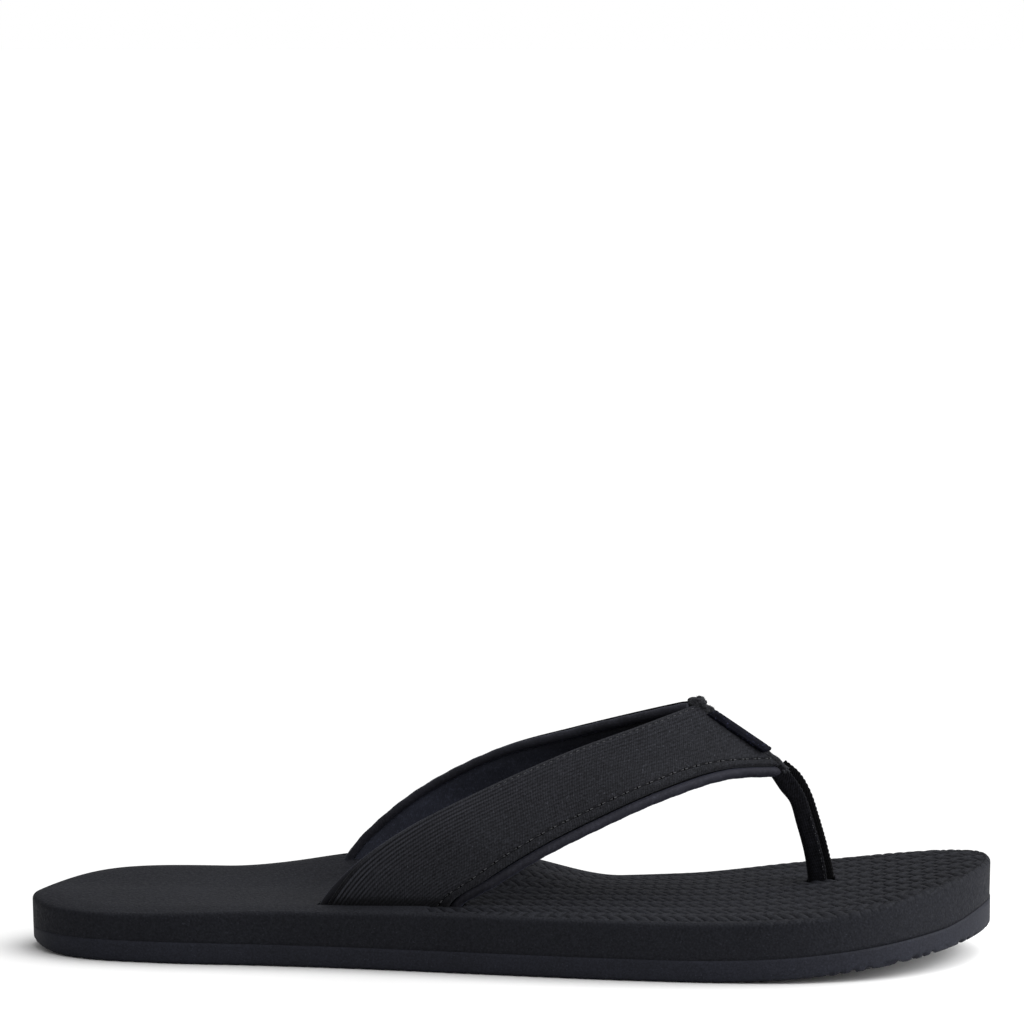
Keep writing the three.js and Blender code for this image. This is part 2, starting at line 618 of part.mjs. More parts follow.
// The folded seam allowance between the limbs, with its knob at the rear end of the crest.
function crestSeam() {
  const end = 1 - (POST_DEPTH + 2) / crestFront.distanceTo(crestRear);
  const outline = [];
  for (let i = 0; i <= 6; i++) outline.push(crestPoint(0.02 + ((end - 0.02) * i) / 6, SEAM_RAISE));
  outline.push(crestPoint(end, -STACK), crestPoint(0.02, -STACK));
  const side = new THREE.Shape(outline.map((p) => new THREE.Vector2(p.x, p.z)));
  const fin = new THREE.ExtrudeGeometry(side, { depth: SEAM_THICKNESS, bevelEnabled: false });
  fin.rotateX(Math.PI / 2);
  fin.translate(0, CREST_Y + SEAM_THICKNESS / 2, 0);
  return solidOf(fin).add(ball(knobCentre, SEAM_KNOB_RADIUS));
}

// A point over a limb, a distance q down from the crest and raised above the limb's face.
function flapPoint(limb, w, q, raise) {
  const speed = limbPoint(limb, CREST_T, w, 0).distanceTo(limbPoint(limb, CREST_T - 0.05, w, 0)) / 0.05;
  return limbPoint(limb, CREST_T - q / speed, w, -raise);
}

// A folded label that straddles the crest, short flap outside and long flap inside.
function crestLabel() {
  const steps = 6;
  const start = LABEL_START / crestFront.distanceTo(crestRear);
  const share = LABEL_LENGTH / crestFront.distanceTo(crestRear);
  const grid = (extra) => {
    const rows = [];
    for (let i = 0; i <= steps; i++) {
      const w = start + (share * i) / steps;
      const outer = (q) => flapPoint(LIMBS.lateral, w, q, LABEL_RAISE + extra).toArray();
      const inner = (q) => flapPoint(LIMBS.medial, w, q, LABEL_RAISE + extra).toArray();
      rows.push([
        outer(LABEL_OUTER_FLAP), outer(SEAM_GAP),
        crestPoint(w, SEAM_RAISE + 2 * FIT_GAP + extra).toArray(),
        inner(SEAM_GAP), inner(LABEL_INNER_FLAP / 2), inner(LABEL_INNER_FLAP),
      ]);
    }
    return rows;
  };
  return slab(grid(LABEL_THICKNESS), grid(0));
}

// ---- Assembly ----

const material = (color, roughness) => new THREE.MeshStandardMaterial({ color, roughness, metalness: 0 });
const sole = material(0x1b1c20, 0.9);
const rubber = material(0x171a26, 0.8);
const fabric = material(0x1a1b1f, 0.95);
const padding = material(0x2a2c33, 1);
const lining = material(0x171826, 0.8);
const webbing = material(0x101115, 0.85);
const thread = material(0x202127, 0.7);
const plastic = material(0x111216, 0.5);
const labelMaterial = material(0x0d0f18, 0.45);

function footbed() {
  let solid = footbedBlank();
  for (const limb of Object.values(LIMBS)) solid = solid.subtract(strapSlot(limb));
  return solid.subtract(postSlot()).subtract(postCylinder(DISC_RADIUS + SLOT_CLEARANCE, 0, POST_TOP));
}

function outsole() {
  let solid = outsoleBlank();
  const count = Math.floor((LENGTH - 2 * GROOVE_PITCH) / GROOVE_PITCH);
  for (let i = 0; i < count; i++) solid = solid.subtract(treadGroove((i - (count - 1) / 2) * GROOVE_PITCH));
  return solid;
}

const flipFlop = new THREE.Group();
const pieces = [
  ["footbed", footbed(), sole],
  ["outsole", outsole(), rubber],
  ...limbPieces("lateral", LIMBS.lateral),
  ...limbPieces("medial", LIMBS.medial),
  ["crest_seam", crestSeam(), fabric],
  ["crest_label", crestLabel(), labelMaterial],
  ["toe_post_webbing", toeWebbing(), webbing],
  ["toe_post_stitching", postStitching(), thread],
  ["toe_anchor_disc", anchorDisc(), plastic],
];
for (const [name, solid, finish] of pieces) {
  const mesh = new THREE.Mesh(geometryOf(solid), finish);
  mesh.name = name;
  flipFlop.add(mesh);
}

export default flipFlop;
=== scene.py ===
import math

import bmesh
import bpy
import numpy as np
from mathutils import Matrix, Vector


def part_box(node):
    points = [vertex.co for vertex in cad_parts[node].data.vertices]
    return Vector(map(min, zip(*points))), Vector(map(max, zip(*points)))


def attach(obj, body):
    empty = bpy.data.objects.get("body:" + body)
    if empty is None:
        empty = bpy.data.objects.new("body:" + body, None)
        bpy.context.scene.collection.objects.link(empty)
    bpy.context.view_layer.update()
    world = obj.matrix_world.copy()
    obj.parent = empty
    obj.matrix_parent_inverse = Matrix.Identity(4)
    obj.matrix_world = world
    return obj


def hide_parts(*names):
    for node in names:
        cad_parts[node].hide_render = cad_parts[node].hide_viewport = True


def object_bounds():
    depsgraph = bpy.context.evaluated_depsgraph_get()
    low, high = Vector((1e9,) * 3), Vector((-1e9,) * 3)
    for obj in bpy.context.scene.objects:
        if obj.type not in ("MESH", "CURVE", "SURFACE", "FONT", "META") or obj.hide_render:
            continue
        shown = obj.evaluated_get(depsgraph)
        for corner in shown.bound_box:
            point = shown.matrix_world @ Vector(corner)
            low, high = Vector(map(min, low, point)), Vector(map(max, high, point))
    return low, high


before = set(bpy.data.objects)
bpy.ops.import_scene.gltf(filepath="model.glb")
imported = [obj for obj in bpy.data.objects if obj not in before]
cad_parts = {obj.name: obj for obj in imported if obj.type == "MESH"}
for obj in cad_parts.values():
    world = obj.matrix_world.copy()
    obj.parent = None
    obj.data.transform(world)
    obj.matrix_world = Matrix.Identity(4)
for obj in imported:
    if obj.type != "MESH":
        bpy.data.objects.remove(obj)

# A right-foot flip flop in a plain studio. Shapes are worked out in millimetres, in the frame of the
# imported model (+X to the toe, +Y to the inner side, +Z up), and become metres when a mesh is made.
MM = 0.001
CAD_LOW, CAD_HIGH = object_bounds()
LENGTH = (CAD_HIGH.x - CAD_LOW.x) / MM
WIDTH = (CAD_HIGH.y - CAD_LOW.y) / MM

# ---- Sole sizes ----
OUTSOLE_THICKNESS = 6.2
FOOTBED_THICKNESS = 12.0
BOND_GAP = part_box("footbed")[0].z / MM - OUTSOLE_THICKNESS
DECK = OUTSOLE_THICKNESS + FOOTBED_THICKNESS
TOE_SPRING_START = 52.0
TOE_SPRING_RADIUS = 480.0
HEEL_BEVEL_LENGTH = 15.0
HEEL_BEVEL_RISE = 2.0
TOP_EDGE_RADIUS = 1.6
BOTTOM_EDGE_RADIUS = 1.3
EDGE_ROLL_DEPTH = 1.2
EDGE_ROLL_WIDTH = 9.0
HEEL_DISH = 1.2
HEEL_BACK_DROP = 0.4
HEEL_CUP_RISE = 2.7
ARCH_RISE = 5.5
OUTER_RIM_RISE = 1.9
INNER_DIP = 1.2
TOE_THICKENING_INNER = 2.6
TOE_THICKENING_OUTER = 2.4
OUTER_HEEL_LEAN = 1.7  # the heel seat slopes down to its outer side
TOE_LINE_RISE = 1.8  # how much the line between the two layers turns up at the tip of the toe
SIDE_DRAFT = 0.3  # how much the sole narrows from its deck to the ground
BOND_DRAFT = 0.6  # the share of it that is reached at the line between the layers

# Braided relief of the footbed and wave tread of the outsole.
GRAIN_PITCH = 3.8
GRAIN_COLUMN = 5.0
GRAIN_SLANT = 2.4
GRAIN_DEPTH = 0.95
GAP_SHADE = 0.52  # how much painted shade darkens the gaps between the grains
TREAD_PITCH = 4.5
TREAD_WAVE = 2.4
TREAD_WAVE_LENGTH = 15.0
TREAD_DEPTH = 1.0

MID_DECK = 20  # an inset that is past the rolled edge

# ---- Strap sizes ----
STRAP_RISE = 55.7
STRAP_CROWN = 1.4
REAR_EDGE_RISE = 1.6  # the inner limb arches up along its rear edge
FACE_THICKNESS = 0.9
FOAM_THICKNESS = 1.2
TAPE_THICKNESS = 0.7
LINING_THICKNESS = 0.8
LAYER_GAP = 0.2
STACK = FACE_THICKNESS + FOAM_THICKNESS + TAPE_THICKNESS + LINING_THICKNESS + 3 * LAYER_GAP
TAPE_TOP = FACE_THICKNESS + FOAM_THICKNESS + 2 * LAYER_GAP
TAPE_INSET = 7.7
TAPE_TAIL = 14.0
SLOT_CLEARANCE = 0.3
BINDING_HALF_WIDTH = 1.45
BINDING_HALF_HEIGHT = 1.75
BINDING_END = 0.017  # how far a binding runs on into the seam, as a share of the edge
SEAM_GAP = 1.5
FACE_FRONT_INSET = 3.0
FOAM_INSET = 3.2
LINING_INSET = 2.7
HEM_RADIUS = 0.85
RIB_PITCH = 1.1
RIB_DEPTH = 0.17
VALLEY_INSET = 2.5  # the stitch valley, in from the face's front edge
VALLEY_HALF_WIDTH = 0.32
VALLEY_DEPTH = 0.5
REAR_STITCH_INSET = 1.1
FRONT_STITCH_INSET = 2.7

# Stitches of the strap's front and rear edges and of the toe post, and the loose threads on the seam.
STITCHES = {
    "front": {"Pitch": 3.9, "Stitch Length": 2.7, "Thread Radius": 0.22, "Hole Radius": 0.34},
    "rear": {"Pitch": 2.1, "Stitch Length": 1.1, "Thread Radius": 0.14, "Hole Radius": 0.12},
    "post": {"Pitch": 2.3, "Stitch Length": 1.3, "Thread Radius": 0.11, "Hole Radius": 0.16},
}
FIBRE = {"Fibre Length": 0.7, "Fibre Radius": 0.035}
FIBRE_DENSITY = 2.4e6  # fibres to a square metre

# ---- Toe post and label sizes ----
POST_WIDTH = 4.6
POST_DEPTH = 7.6
PLY_THICKNESS = 1.5
LABEL_LENGTH = 20.2
LABEL_START = 5.6
LABEL_THICKNESS = 0.95
LABEL_OUTER_FLAP = 1.7
LABEL_INNER_FLAP = 9.0
LABEL_EDGE_RADIUS = 0.5
LABEL_LINE_INSET = 1.3
LABEL_LINE_HALF_WIDTH = 0.25
LABEL_LINE_DEPTH = 0.12
LABEL_CREST_LIFT = 0.35

# Outline of the sole as shares of LENGTH and WIDTH: heel, outer side, toe and back on the inner side.
OUTLINE = [
    (-0.4998, 0.026), (-0.4825, -0.134), (-0.435, -0.247), (-0.351, -0.304), (-0.246, -0.323),
    (-0.14, -0.357), (0, -0.423), (0.123, -0.477), (0.228, -0.5), (0.316, -0.485),
    (0.393, -0.402), (0.4525, -0.253), (0.4875, -0.082), (0.5, 0.093), (0.4895, 0.247),
    (0.449, 0.381), (0.379, 0.469), (0.281, 0.5), (0.1825, 0.479), (0.077, 0.412),
    (-0.053, 0.351), (-0.175, 0.335), (-0.298, 0.356), (-0.393, 0.34), (-0.46, 0.227),
]

# Strap edges from inside the slot to just past the crest, as shares of LENGTH, of WIDTH and of the
# strap's rise over the deck. Row CREST_ROW lies on the crest.
CREST_ROW = 7
STRAP_EDGES = {
    "lateral": {
        "rear": [
            (-0.2035, -0.247, -0.165), (-0.186, -0.2525, 0.011), (-0.156, -0.2495, 0.187),
            (-0.098, -0.227, 0.402), (-0.021, -0.162, 0.597), (0.063, -0.077, 0.776),
            (0.137, 0.008, 0.901), (0.1965, 0.113, 1), (0.216, 0.16, 1.03),
        ],
        "front": [
            (-0.053, -0.294, -0.165), (-0.039, -0.298, 0.013), (-0.002, -0.2885, 0.131),
            (0.0455, -0.2525, 0.271), (0.1105, -0.1805, 0.426), (0.1755, -0.0925, 0.557),
            (0.2385, 0.015, 0.637), (0.2945, 0.113, 0.627), (0.312, 0.157, 0.618),
        ],
    },
    "medial": {
        "rear": [
            (-0.2, 0.2475, -0.165), (-0.181, 0.265, 0.077), (-0.151, 0.287, 0.262),
            (-0.095, 0.299, 0.491), (-0.0175, 0.285, 0.687), (0.063, 0.24, 0.807),
            (0.137, 0.182, 0.915), (0.1965, 0.113, 1), (0.216, 0.073, 1.03),
        ],
        "front": [
            (-0.049, 0.258, -0.165), (-0.028, 0.2735, 0.077), (0.007, 0.294, 0.221),
            (0.0525, 0.299, 0.355), (0.112, 0.275, 0.489), (0.1755, 0.238, 0.585),
            (0.2385, 0.18, 0.64), (0.2945, 0.113, 0.627), (0.312, 0.076, 0.618),
        ],
    },
}


# ---- Numbers ----

def smooth(start, end, x):
    share = np.clip((x - start) / (end - start), 0, 1)
    return share * share * (3 - 2 * share)


def hump(x, start, full, fall, end):
    """0 outside start to end, 1 between full and fall, all shares of LENGTH."""
    rise = smooth(start * LENGTH, full * LENGTH, x)
    return rise * (1 - smooth(fall * LENGTH, end * LENGTH, x))


def unit(vectors):
    return vectors / np.maximum(np.linalg.norm(vectors, axis=-1, keepdims=True), 1e-9)


def in_metres(sizes):
    return {key: size * MM for key, size in sizes.items()}


def curve_points(knots, t, closed=False):
    """Points of a centripetal Catmull-Rom curve at the shares t of its run of knots."""
    knots = np.asarray(knots, float)
    count = len(knots)
    spans = count if closed else count - 1
    position = np.clip(np.asarray(t, float), 0, 1) * spans
    index = np.minimum(position.astype(int), spans - 1)
    local = (position - index)[..., None]
    if closed:
        a, b, c, d = (knots[(index + k) % count] for k in (-1, 0, 1, 2))
    else:
        ends = np.vstack([2 * knots[0] - knots[1], knots, 2 * knots[-1] - knots[-2]])
        a, b, c, d = (ends[index + k] for k in (0, 1, 2, 3))
    gap_ab, gap_bc, gap_cd = (
        np.sqrt(np.linalg.norm(q - p, axis=-1, keepdims=True)) for p, q in ((a, b), (b, c), (c, d)))
    start = ((b - a) / gap_ab - (c - a) / (gap_ab + gap_bc) + (c - b) / gap_bc) * gap_bc
    finish = ((c - b) / gap_bc - (d - b) / (gap_bc + gap_cd) + (d - c) / gap_cd) * gap_bc
    square, cube = local ** 2, local ** 3
    return (b + start * local + (3 * (c - b) - 2 * start - finish) * square
            + (2 * (b - c) + start + finish) * cube)


# ---- Meshes ----

def add_object(name, mesh):
    piece = bpy.data.objects.new(name, mesh)
    bpy.context.scene.collection.objects.link(piece)
    return piece


def set_relief_and_painted_shade(mesh, values, name="relief_and_painted_shade"):
    """Stores a value for each point, which the materials turn into painted shade, painted highlights and
    bumps.
    """
    layer = mesh.attributes.get(name) or mesh.attributes.new(name, "FLOAT", "POINT")
    layer.data.foreach_set("value", np.asarray(values, np.float32).ravel())


def smooth_shaded(mesh):
    mesh.polygons.foreach_set("use_smooth", [True] * len(mesh.polygons))


def mesh_piece(name, points, faces, uv=None, relief_and_painted_shade=None):
    """A smooth-shaded object from points in millimetres; doubled points are merged and faces turned out."""
    mesh = bpy.data.meshes.new(name)
    mesh.from_pydata((np.asarray(points) * MM).tolist(), [], faces)
    if relief_and_painted_shade is not None:
        set_relief_and_painted_shade(mesh, relief_and_painted_shade)
    if uv is not None:
        layer = mesh.uv_layers.new(name="cloth")
        corners = np.zeros(len(mesh.loops), np.int32)
        mesh.loops.foreach_get("vertex_index", corners)
        layer.data.foreach_set("uv", np.asarray(uv, np.float32)[corners].ravel())
    work = bmesh.new()
    work.from_mesh(mesh)
    bmesh.ops.remove_doubles(work, verts=work.verts, dist=2e-6)
    bmesh.ops.dissolve_degenerate(work, edges=work.edges, dist=1e-7)
    bmesh.ops.recalc_face_normals(work, faces=work.faces)
    if work.calc_volume(signed=True) < 0:
        bmesh.ops.reverse_faces(work, faces=work.faces)
    work.to_mesh(mesh)
    work.free()
    smooth_shaded(mesh)
    return add_object(name, mesh)


def grid_faces(rows, columns, wrap=False, start=0):
    """Faces between neighbouring rows of points; wrap joins each row's last point to its first."""
    across = columns if wrap else columns - 1
    i, j = np.meshgrid(np.arange(rows - 1), np.arange(across), indexing="ij")
    n = (j + 1) % columns
    corners = [i * columns + j, i * columns + n, (i + 1) * columns + n, (i + 1) * columns + j]
    return (np.stack(corners, -1).reshape(-1, 4) + start).tolist()


def slab_piece(name, outer, inner, uv=None, relief_and_painted_shade=None):
    """A closed sheet between two grids of points of the same size."""
    rows, columns = outer.shape[:2]
    count = rows * columns
    faces = grid_faces(rows, columns) + [f[::-1] for f in grid_faces(rows, columns, start=count)]
    for i in range(rows - 1):
        for j in (0, columns - 1):
            a, b = i * columns + j, (i + 1) * columns + j
            faces.append([a, b, b + count, a + count])
    for j in range(columns - 1):
        for i in (0, rows - 1):
            a = i * columns + j
            faces.append([a, a + 1, a + 1 + count, a + count])
    points = np.concatenate([outer.reshape(-1, 3), inner.reshape(-1, 3)])
    if uv is not None:
        uv = np.concatenate([uv.reshape(-1, 2)] * 2)
    if relief_and_painted_shade is not None:
        relief_and_painted_shade = np.concatenate([relief_and_painted_shade.ravel()] * 2)
    return mesh_piece(name, points, faces, uv, relief_and_painted_shade)


def tube_piece(name, rings, uv=None, relief_and_painted_shade=None):
    """A closed tube through rings of points, with a flat fan at each end."""
    rows, columns = rings.shape[:2]
    faces = grid_faces(rows, columns, wrap=True)
    faces.append(list(range(columns)))
    faces.append([(rows - 1) * columns + j for j in range(columns)][::-1])
    if uv is not None:
        uv = uv.reshape(-1, 2)
    return mesh_piece(name, rings.reshape(-1, 3), faces, uv, relief_and_painted_shade)


def evaluated_mesh(piece):
    """A plain mesh of a piece with its modifiers applied."""
    depsgraph = bpy.context.evaluated_depsgraph_get()
    return bpy.data.meshes.new_from_object(piece.evaluated_get(depsgraph), depsgraph=depsgraph)


# ---- Node trees ----

def plug(tree, socket, value):
    """Links another node's output to a socket, or sets the socket's own value."""
    if isinstance(value, bpy.types.NodeSocket):
        tree.links.new(value, socket)
    elif socket.type == "RGBA":
        socket.default_value = (*value, 1)
    else:
        socket.default_value = value


def add_node(tree, kind, inputs, output=0, **settings):
    """The output of a new node, whose inputs are given by name or number."""
    node = tree.nodes.new(kind)
    for key, value in settings.items():
        setattr(node, key, value)
    for key, value in inputs.items():
        plug(tree, node.inputs[key], value)
    return node.outputs[output]


# ---- Sole shape ----

def outline_sides():
    """The outline as two runs of points from heel to toe: the outer side and the inner side."""
    knots = [(along * LENGTH, across * WIDTH) for along, across in OUTLINE]
    points = curve_points(knots, np.linspace(0, 1, 4001), closed=True)[:-1]
    heel, toe = points[:, 0].argmin(), points[:, 0].argmax()
    turned = np.roll(points, -heel, axis=0)
    middle = (toe - heel) % len(points)
    outer = turned[:middle + 1]
    inner = np.vstack([turned[middle:], turned[:1]])[::-1]
    return outer, inner


OUTER_SIDE, INNER_SIDE = outline_sides()
SPINE_END = LENGTH / 2 - WIDTH * 0.36


def edge_y(x, side):
    run = OUTER_SIDE if side < 0 else INNER_SIDE
    return np.interp(x, run[:, 0], run[:, 1])


def toe_spring(x):
    return np.maximum(0, x - TOE_SPRING_START) ** 2 / (2 * TOE_SPRING_RADIUS)


def ground_line(x):
    heel = -LENGTH / 2 + HEEL_BEVEL_LENGTH
    return toe_spring(x) + HEEL_BEVEL_RISE * np.maximum(0, (heel - x) / HEEL_BEVEL_LENGTH) ** 2


def bond_line(x):
    return toe_spring(x) + OUTSOLE_THICKNESS


def side_line(x):
    """Height of the line between the two layers, as it shows on the side of the sole."""
    return bond_line(x) + TOE_LINE_RISE * smooth(0.45 * LENGTH, 0.5 * LENGTH, x)


def deck_height(x, y, inset):
    """Height of the footbed's top at a point that lies inset millimetres in from the rim."""
    within = np.clip(x, -0.39 * LENGTH, 0.39 * LENGTH)
    low, high = edge_y(within, -1), edge_y(within, 1)
    side = (2 * y - low - high) / (high - low)
    lean = smooth(0, 1, np.abs(side))
    cup = 1 - smooth(-0.21 * LENGTH, 0.07 * LENGTH, x)
    arch = hump(x, -0.31, -0.125, -0.0175, 0.1125)
    dip = hump(x, -0.02, 0.11, 0.17, 0.3)
    inner = HEEL_CUP_RISE * cup + ARCH_RISE * arch - INNER_DIP * dip
    rise = np.where(side > 0, inner, OUTER_RIM_RISE * hump(x, -0.42, -0.2175, -0.2035, -0.119))
    dish = HEEL_DISH * (1 - smooth(-0.245 * LENGTH, -0.07 * LENGTH, x))
    back = HEEL_BACK_DROP * (1 - smooth(-0.5 * LENGTH, -0.415 * LENGTH, x))
    toe_outer = TOE_THICKENING_OUTER * smooth(0.32 * LENGTH, 0.5 * LENGTH, x)
    toe_inner = TOE_THICKENING_INNER * smooth(0.13 * LENGTH, 0.46 * LENGTH, x)
    toe = toe_outer + (toe_inner - toe_outer) * np.clip((side + 1) / 2, 0, 1)
    outer_heel = OUTER_HEEL_LEAN * smooth(0, 1, -side) * (1 - smooth(-0.2 * LENGTH, -0.12 * LENGTH, x))
    roll = outer_heel + EDGE_ROLL_DEPTH * np.maximum(0, 1 - inset / EDGE_ROLL_WIDTH) ** 2
    return DECK + toe_spring(x) + lean * rise + toe - dish - back - roll


def zigzag(y, wavelength):
    """A triangle wave between -0.5 and 0.5."""
    return np.abs((y / wavelength) % 1 - 0.5) * 2 - 0.5


def braid_relief(x, y):
    """Depth below the deck of the braided grains, which slant one way and then the other."""
    shift = GRAIN_SLANT * zigzag(y, 2 * GRAIN_COLUMN)
    row = np.floor(y / GRAIN_COLUMN)
    along = np.abs(np.sin(math.pi * ((x + shift) / GRAIN_PITCH + 0.5 * (row % 2))))
    across = np.abs(np.sin(math.pi * y / GRAIN_COLUMN))
    pillow = along ** 0.42 * (0.6 + 0.4 * across ** 0.35)
    return GRAIN_DEPTH * (1 - pillow)


def braid_area(x, y):
    """1 on the forefoot and arch, 0 on the smooth heel seat."""
    low, high = edge_y(x, -1), edge_y(x, 1)
    side = np.clip((y - low) / np.maximum(high - low, 0.01), 0, 1)
    border = -0.075 * LENGTH - 0.125 * LENGTH * smooth(0.5, 1.0, side)
    return smooth(-0.8, 0.8, x - border)


def rim_fade(x, inset):
    """The grains stop short of the rim, and less so around the toe."""
    toe = 0.4 * smooth(0.2 * LENGTH, 0.3 * LENGTH, x)
    return toe + (1 - toe) * smooth(1.4, 3.2, inset)


def braid_depth(xy, inset):
    x, y = xy.T
    return braid_relief(x, y) * braid_area(x, y) * rim_fade(x, inset)


def tread_relief(x, y):
    """Depth of the wave tread's grooves above the ground."""
    shift = TREAD_WAVE * np.sin(2 * math.pi * y / TREAD_WAVE_LENGTH)
    wave = np.sin(2 * math.pi * (x + shift) / TREAD_PITCH)
    return TREAD_DEPTH * smooth(-0.15, 0.75, wave)


def rim_points(stations):
    """Rim points, their inward directions and the middle-line points that they close in on."""
    run = np.concatenate([[0], np.cumsum(np.linalg.norm(np.diff(OUTER_SIDE, axis=0), axis=1))])
    x = np.interp(np.linspace(0, run[-1], stations + 1), run, OUTER_SIDE[:, 0])
    outer = np.stack([x, edge_y(x, -1)], -1)
    inner = np.stack([x, edge_y(x, 1)], -1)[-2:0:-1]
    rim = np.vstack([outer, inner])
    tangent = unit(np.roll(rim, -2, axis=0) - np.roll(rim, 2, axis=0))
    inward = np.stack([-tangent[:, 1], tangent[:, 0]], -1)
    spine_x = np.clip(rim[:, 0], -SPINE_END, SPINE_END)
    spine = np.stack([spine_x, (edge_y(spine_x, -1) + edge_y(spine_x, 1)) / 2], -1)
    return rim, inward, spine


def sole_piece(name, rings):
    """A closed solid through rings of points, whose first and last rings lie on the middle line."""
    rows, columns = len(rings), len(rings[0])
    points = np.concatenate(rings)
    return mesh_piece(name, points, grid_faces(rows, columns, wrap=True))


def ring(xy, z):
    return np.column_stack([xy, z])


def footbed_mesh(stations, top_rings):
    """The footbed from its underside out to the rim, up its side, over the rounded edge and in again."""
    rim, inward, spine = rim_points(stations)
    under = side_line(rim[:, 0]) + BOND_GAP
    rings = [ring(spine, bond_line(spine[:, 0]) + BOND_GAP)]
    rings.append(ring(rim + inward * SIDE_DRAFT * BOND_DRAFT, under))
    shoulder = deck_height(rim[:, 0], rim[:, 1], TOP_EDGE_RADIUS) - TOP_EDGE_RADIUS
    for share in np.linspace(0, 1, 9)[1:-1]:
        inset = SIDE_DRAFT * BOND_DRAFT * (1 - share)
        rings.append(ring(rim + inward * inset, under + (shoulder - under) * share))
    for angle in np.radians([0, 14, 28, 42, 56, 70, 82]):
        inset = TOP_EDGE_RADIUS * (1 - math.cos(angle))
        xy = rim + inward * inset
        relief_and_painted_shade = braid_depth(xy, inset) * smooth(0.15, 1.1, angle)
        lift = (TOP_EDGE_RADIUS - relief_and_painted_shade) * math.sin(angle)
        rings.append(ring(xy + inward * (relief_and_painted_shade * math.cos(angle))[:, None], shoulder + lift))
    start = rim + inward * TOP_EDGE_RADIUS
    for share in np.linspace(0, 1, top_rings) ** 1.03:
        xy = start + (spine - start) * share
        inset = np.linalg.norm(xy - rim, axis=1)
        rings.append(ring(xy, deck_height(xy[:, 0], xy[:, 1], inset) - braid_depth(xy, inset)))
    return sole_piece("footbed_foam", rings)


def outsole_mesh(stations, bottom_rings):
    """The outsole from the middle of its tread out to the rim, round the edge, up and in again."""
    rim, inward, spine = rim_points(stations)
    ground = ground_line(rim[:, 0])
    glue = BOND_GAP - 0.04
    top = side_line(rim[:, 0]) + glue
    draft = (SIDE_DRAFT * (1 - smooth(0.3 * LENGTH, 0.42 * LENGTH, rim[:, 0])))[:, None]
    notch = 0.12 + 0.8 * smooth(0.3 * LENGTH, 0.4 * LENGTH, rim[:, 0])
    rings = []
    start = rim + inward * (draft + BOTTOM_EDGE_RADIUS)
    for share in np.linspace(1, 0, bottom_rings):
        xy = start + (spine - start) * share
        depth = tread_relief(xy[:, 0], xy[:, 1]) * (notch + (1 - notch) * smooth(0, 0.2, share))
        rings.append(ring(xy, ground_line(xy[:, 0]) + depth))
    for angle in np.radians([75, 60, 45, 30, 15, 0]):
        inset = draft + BOTTOM_EDGE_RADIUS * (1 - math.cos(angle))
        xy = rim + inward * inset
        relief_and_painted_shade = tread_relief(xy[:, 0], xy[:, 1]) * notch * math.sin(angle) ** 0.5
        lift = BOTTOM_EDGE_RADIUS * (1 - math.sin(angle))
        rings.append(ring(xy + inward * (relief_and_painted_shade * math.cos(angle))[:, None], ground + lift + relief_and_painted_shade))
    low = ground + BOTTOM_EDGE_RADIUS
    for share in np.linspace(0, 1, 6)[1:]:
        inset = draft * (1 - (1 - BOND_DRAFT) * share)
        rings.append(ring(rim + inward * inset, low + (top - low) * share))
    rings.append(ring(spine, bond_line(spine[:, 0]) + glue))
    return sole_piece("outsole_rubber", rings)


# ---- Strap shape ----

CREST_T = CREST_ROW / (len(STRAP_EDGES["lateral"]["rear"]) - 1)
CREST_Y = STRAP_EDGES["lateral"]["rear"][CREST_ROW][1] * WIDTH
SIDE_OF = {"lateral": -1, "medial": 1}
FINE_T = np.linspace(0, 1, 1601)


def placed(rows):
    return [(along * LENGTH, across * WIDTH, DECK + up * STRAP_RISE) for along, across, up in rows]


EDGE_RUNS = {
    name: {edge: curve_points(placed(rows), FINE_T) for edge, rows in edges.items()}
    for name, edges in STRAP_EDGES.items()
}


def edge_at(name, edge, t):
    run = EDGE_RUNS[name][edge]
    return np.stack([np.interp(t, FINE_T, run[:, k]) for k in range(3)], -1)


def limb_frame(name, t, w):
    """Point, outward normal and along direction of a limb's bare surface, on arrays of t and w."""
    t, w = np.broadcast_arrays(np.asarray(t, float), np.asarray(w, float))

    def at(s):
        return edge_at(name, "rear", s) * (1 - w[..., None]) + edge_at(name, "front", s) * w[..., None]

    along = unit(at(np.minimum(1, t + 0.01)) - at(np.maximum(0, t - 0.01)))
    across = edge_at(name, "front", t) - edge_at(name, "rear", t)
    normal = unit(np.cross(across, along)) * -SIDE_OF[name]
    crown = STRAP_CROWN * 4 * w * (1 - w) * (1 - smooth(CREST_T - 0.35, CREST_T - 0.05, t))
    points = at(t) + normal * crown[..., None]
    if name == "medial":
        rise = REAR_EDGE_RISE * smooth(0.34, 0.64, t) * (1 - smooth(0.82, 0.9, t))
        points[..., 2] += rise * (1 - w) ** 1.5
    return points, normal, along


def limb_points(name, t, w, depth):
    point, normal, _ = limb_frame(name, t, w)
    return point - normal * np.broadcast_to(depth, point.shape[:-1])[..., None]


def limb_width(name, t):
    """Width of a limb measured square to its length."""
    across = edge_at(name, "front", t) - edge_at(name, "rear", t)
    ahead = edge_at(name, "rear", np.minimum(1, t + 0.01))
    along = unit(ahead - edge_at(name, "rear", np.maximum(0, t - 0.01)))
    return np.linalg.norm(np.cross(across, along), axis=-1)


def crest_end(name, w, depth):
    """The t at which each line along a limb meets its own side of the seam."""
    stop = CREST_Y + SIDE_OF[name] * SEAM_GAP / 2
    t = np.linspace(0.6, 1, 401)
    ends = []
    for share in np.atleast_1d(w):
        y = limb_points(name, t, share, depth)[:, 1]
        passed = (y - stop) * SIDE_OF[name] <= 0
        ends.append(t[passed.argmax()] if passed.any() else 1.0)
    return np.array(ends)


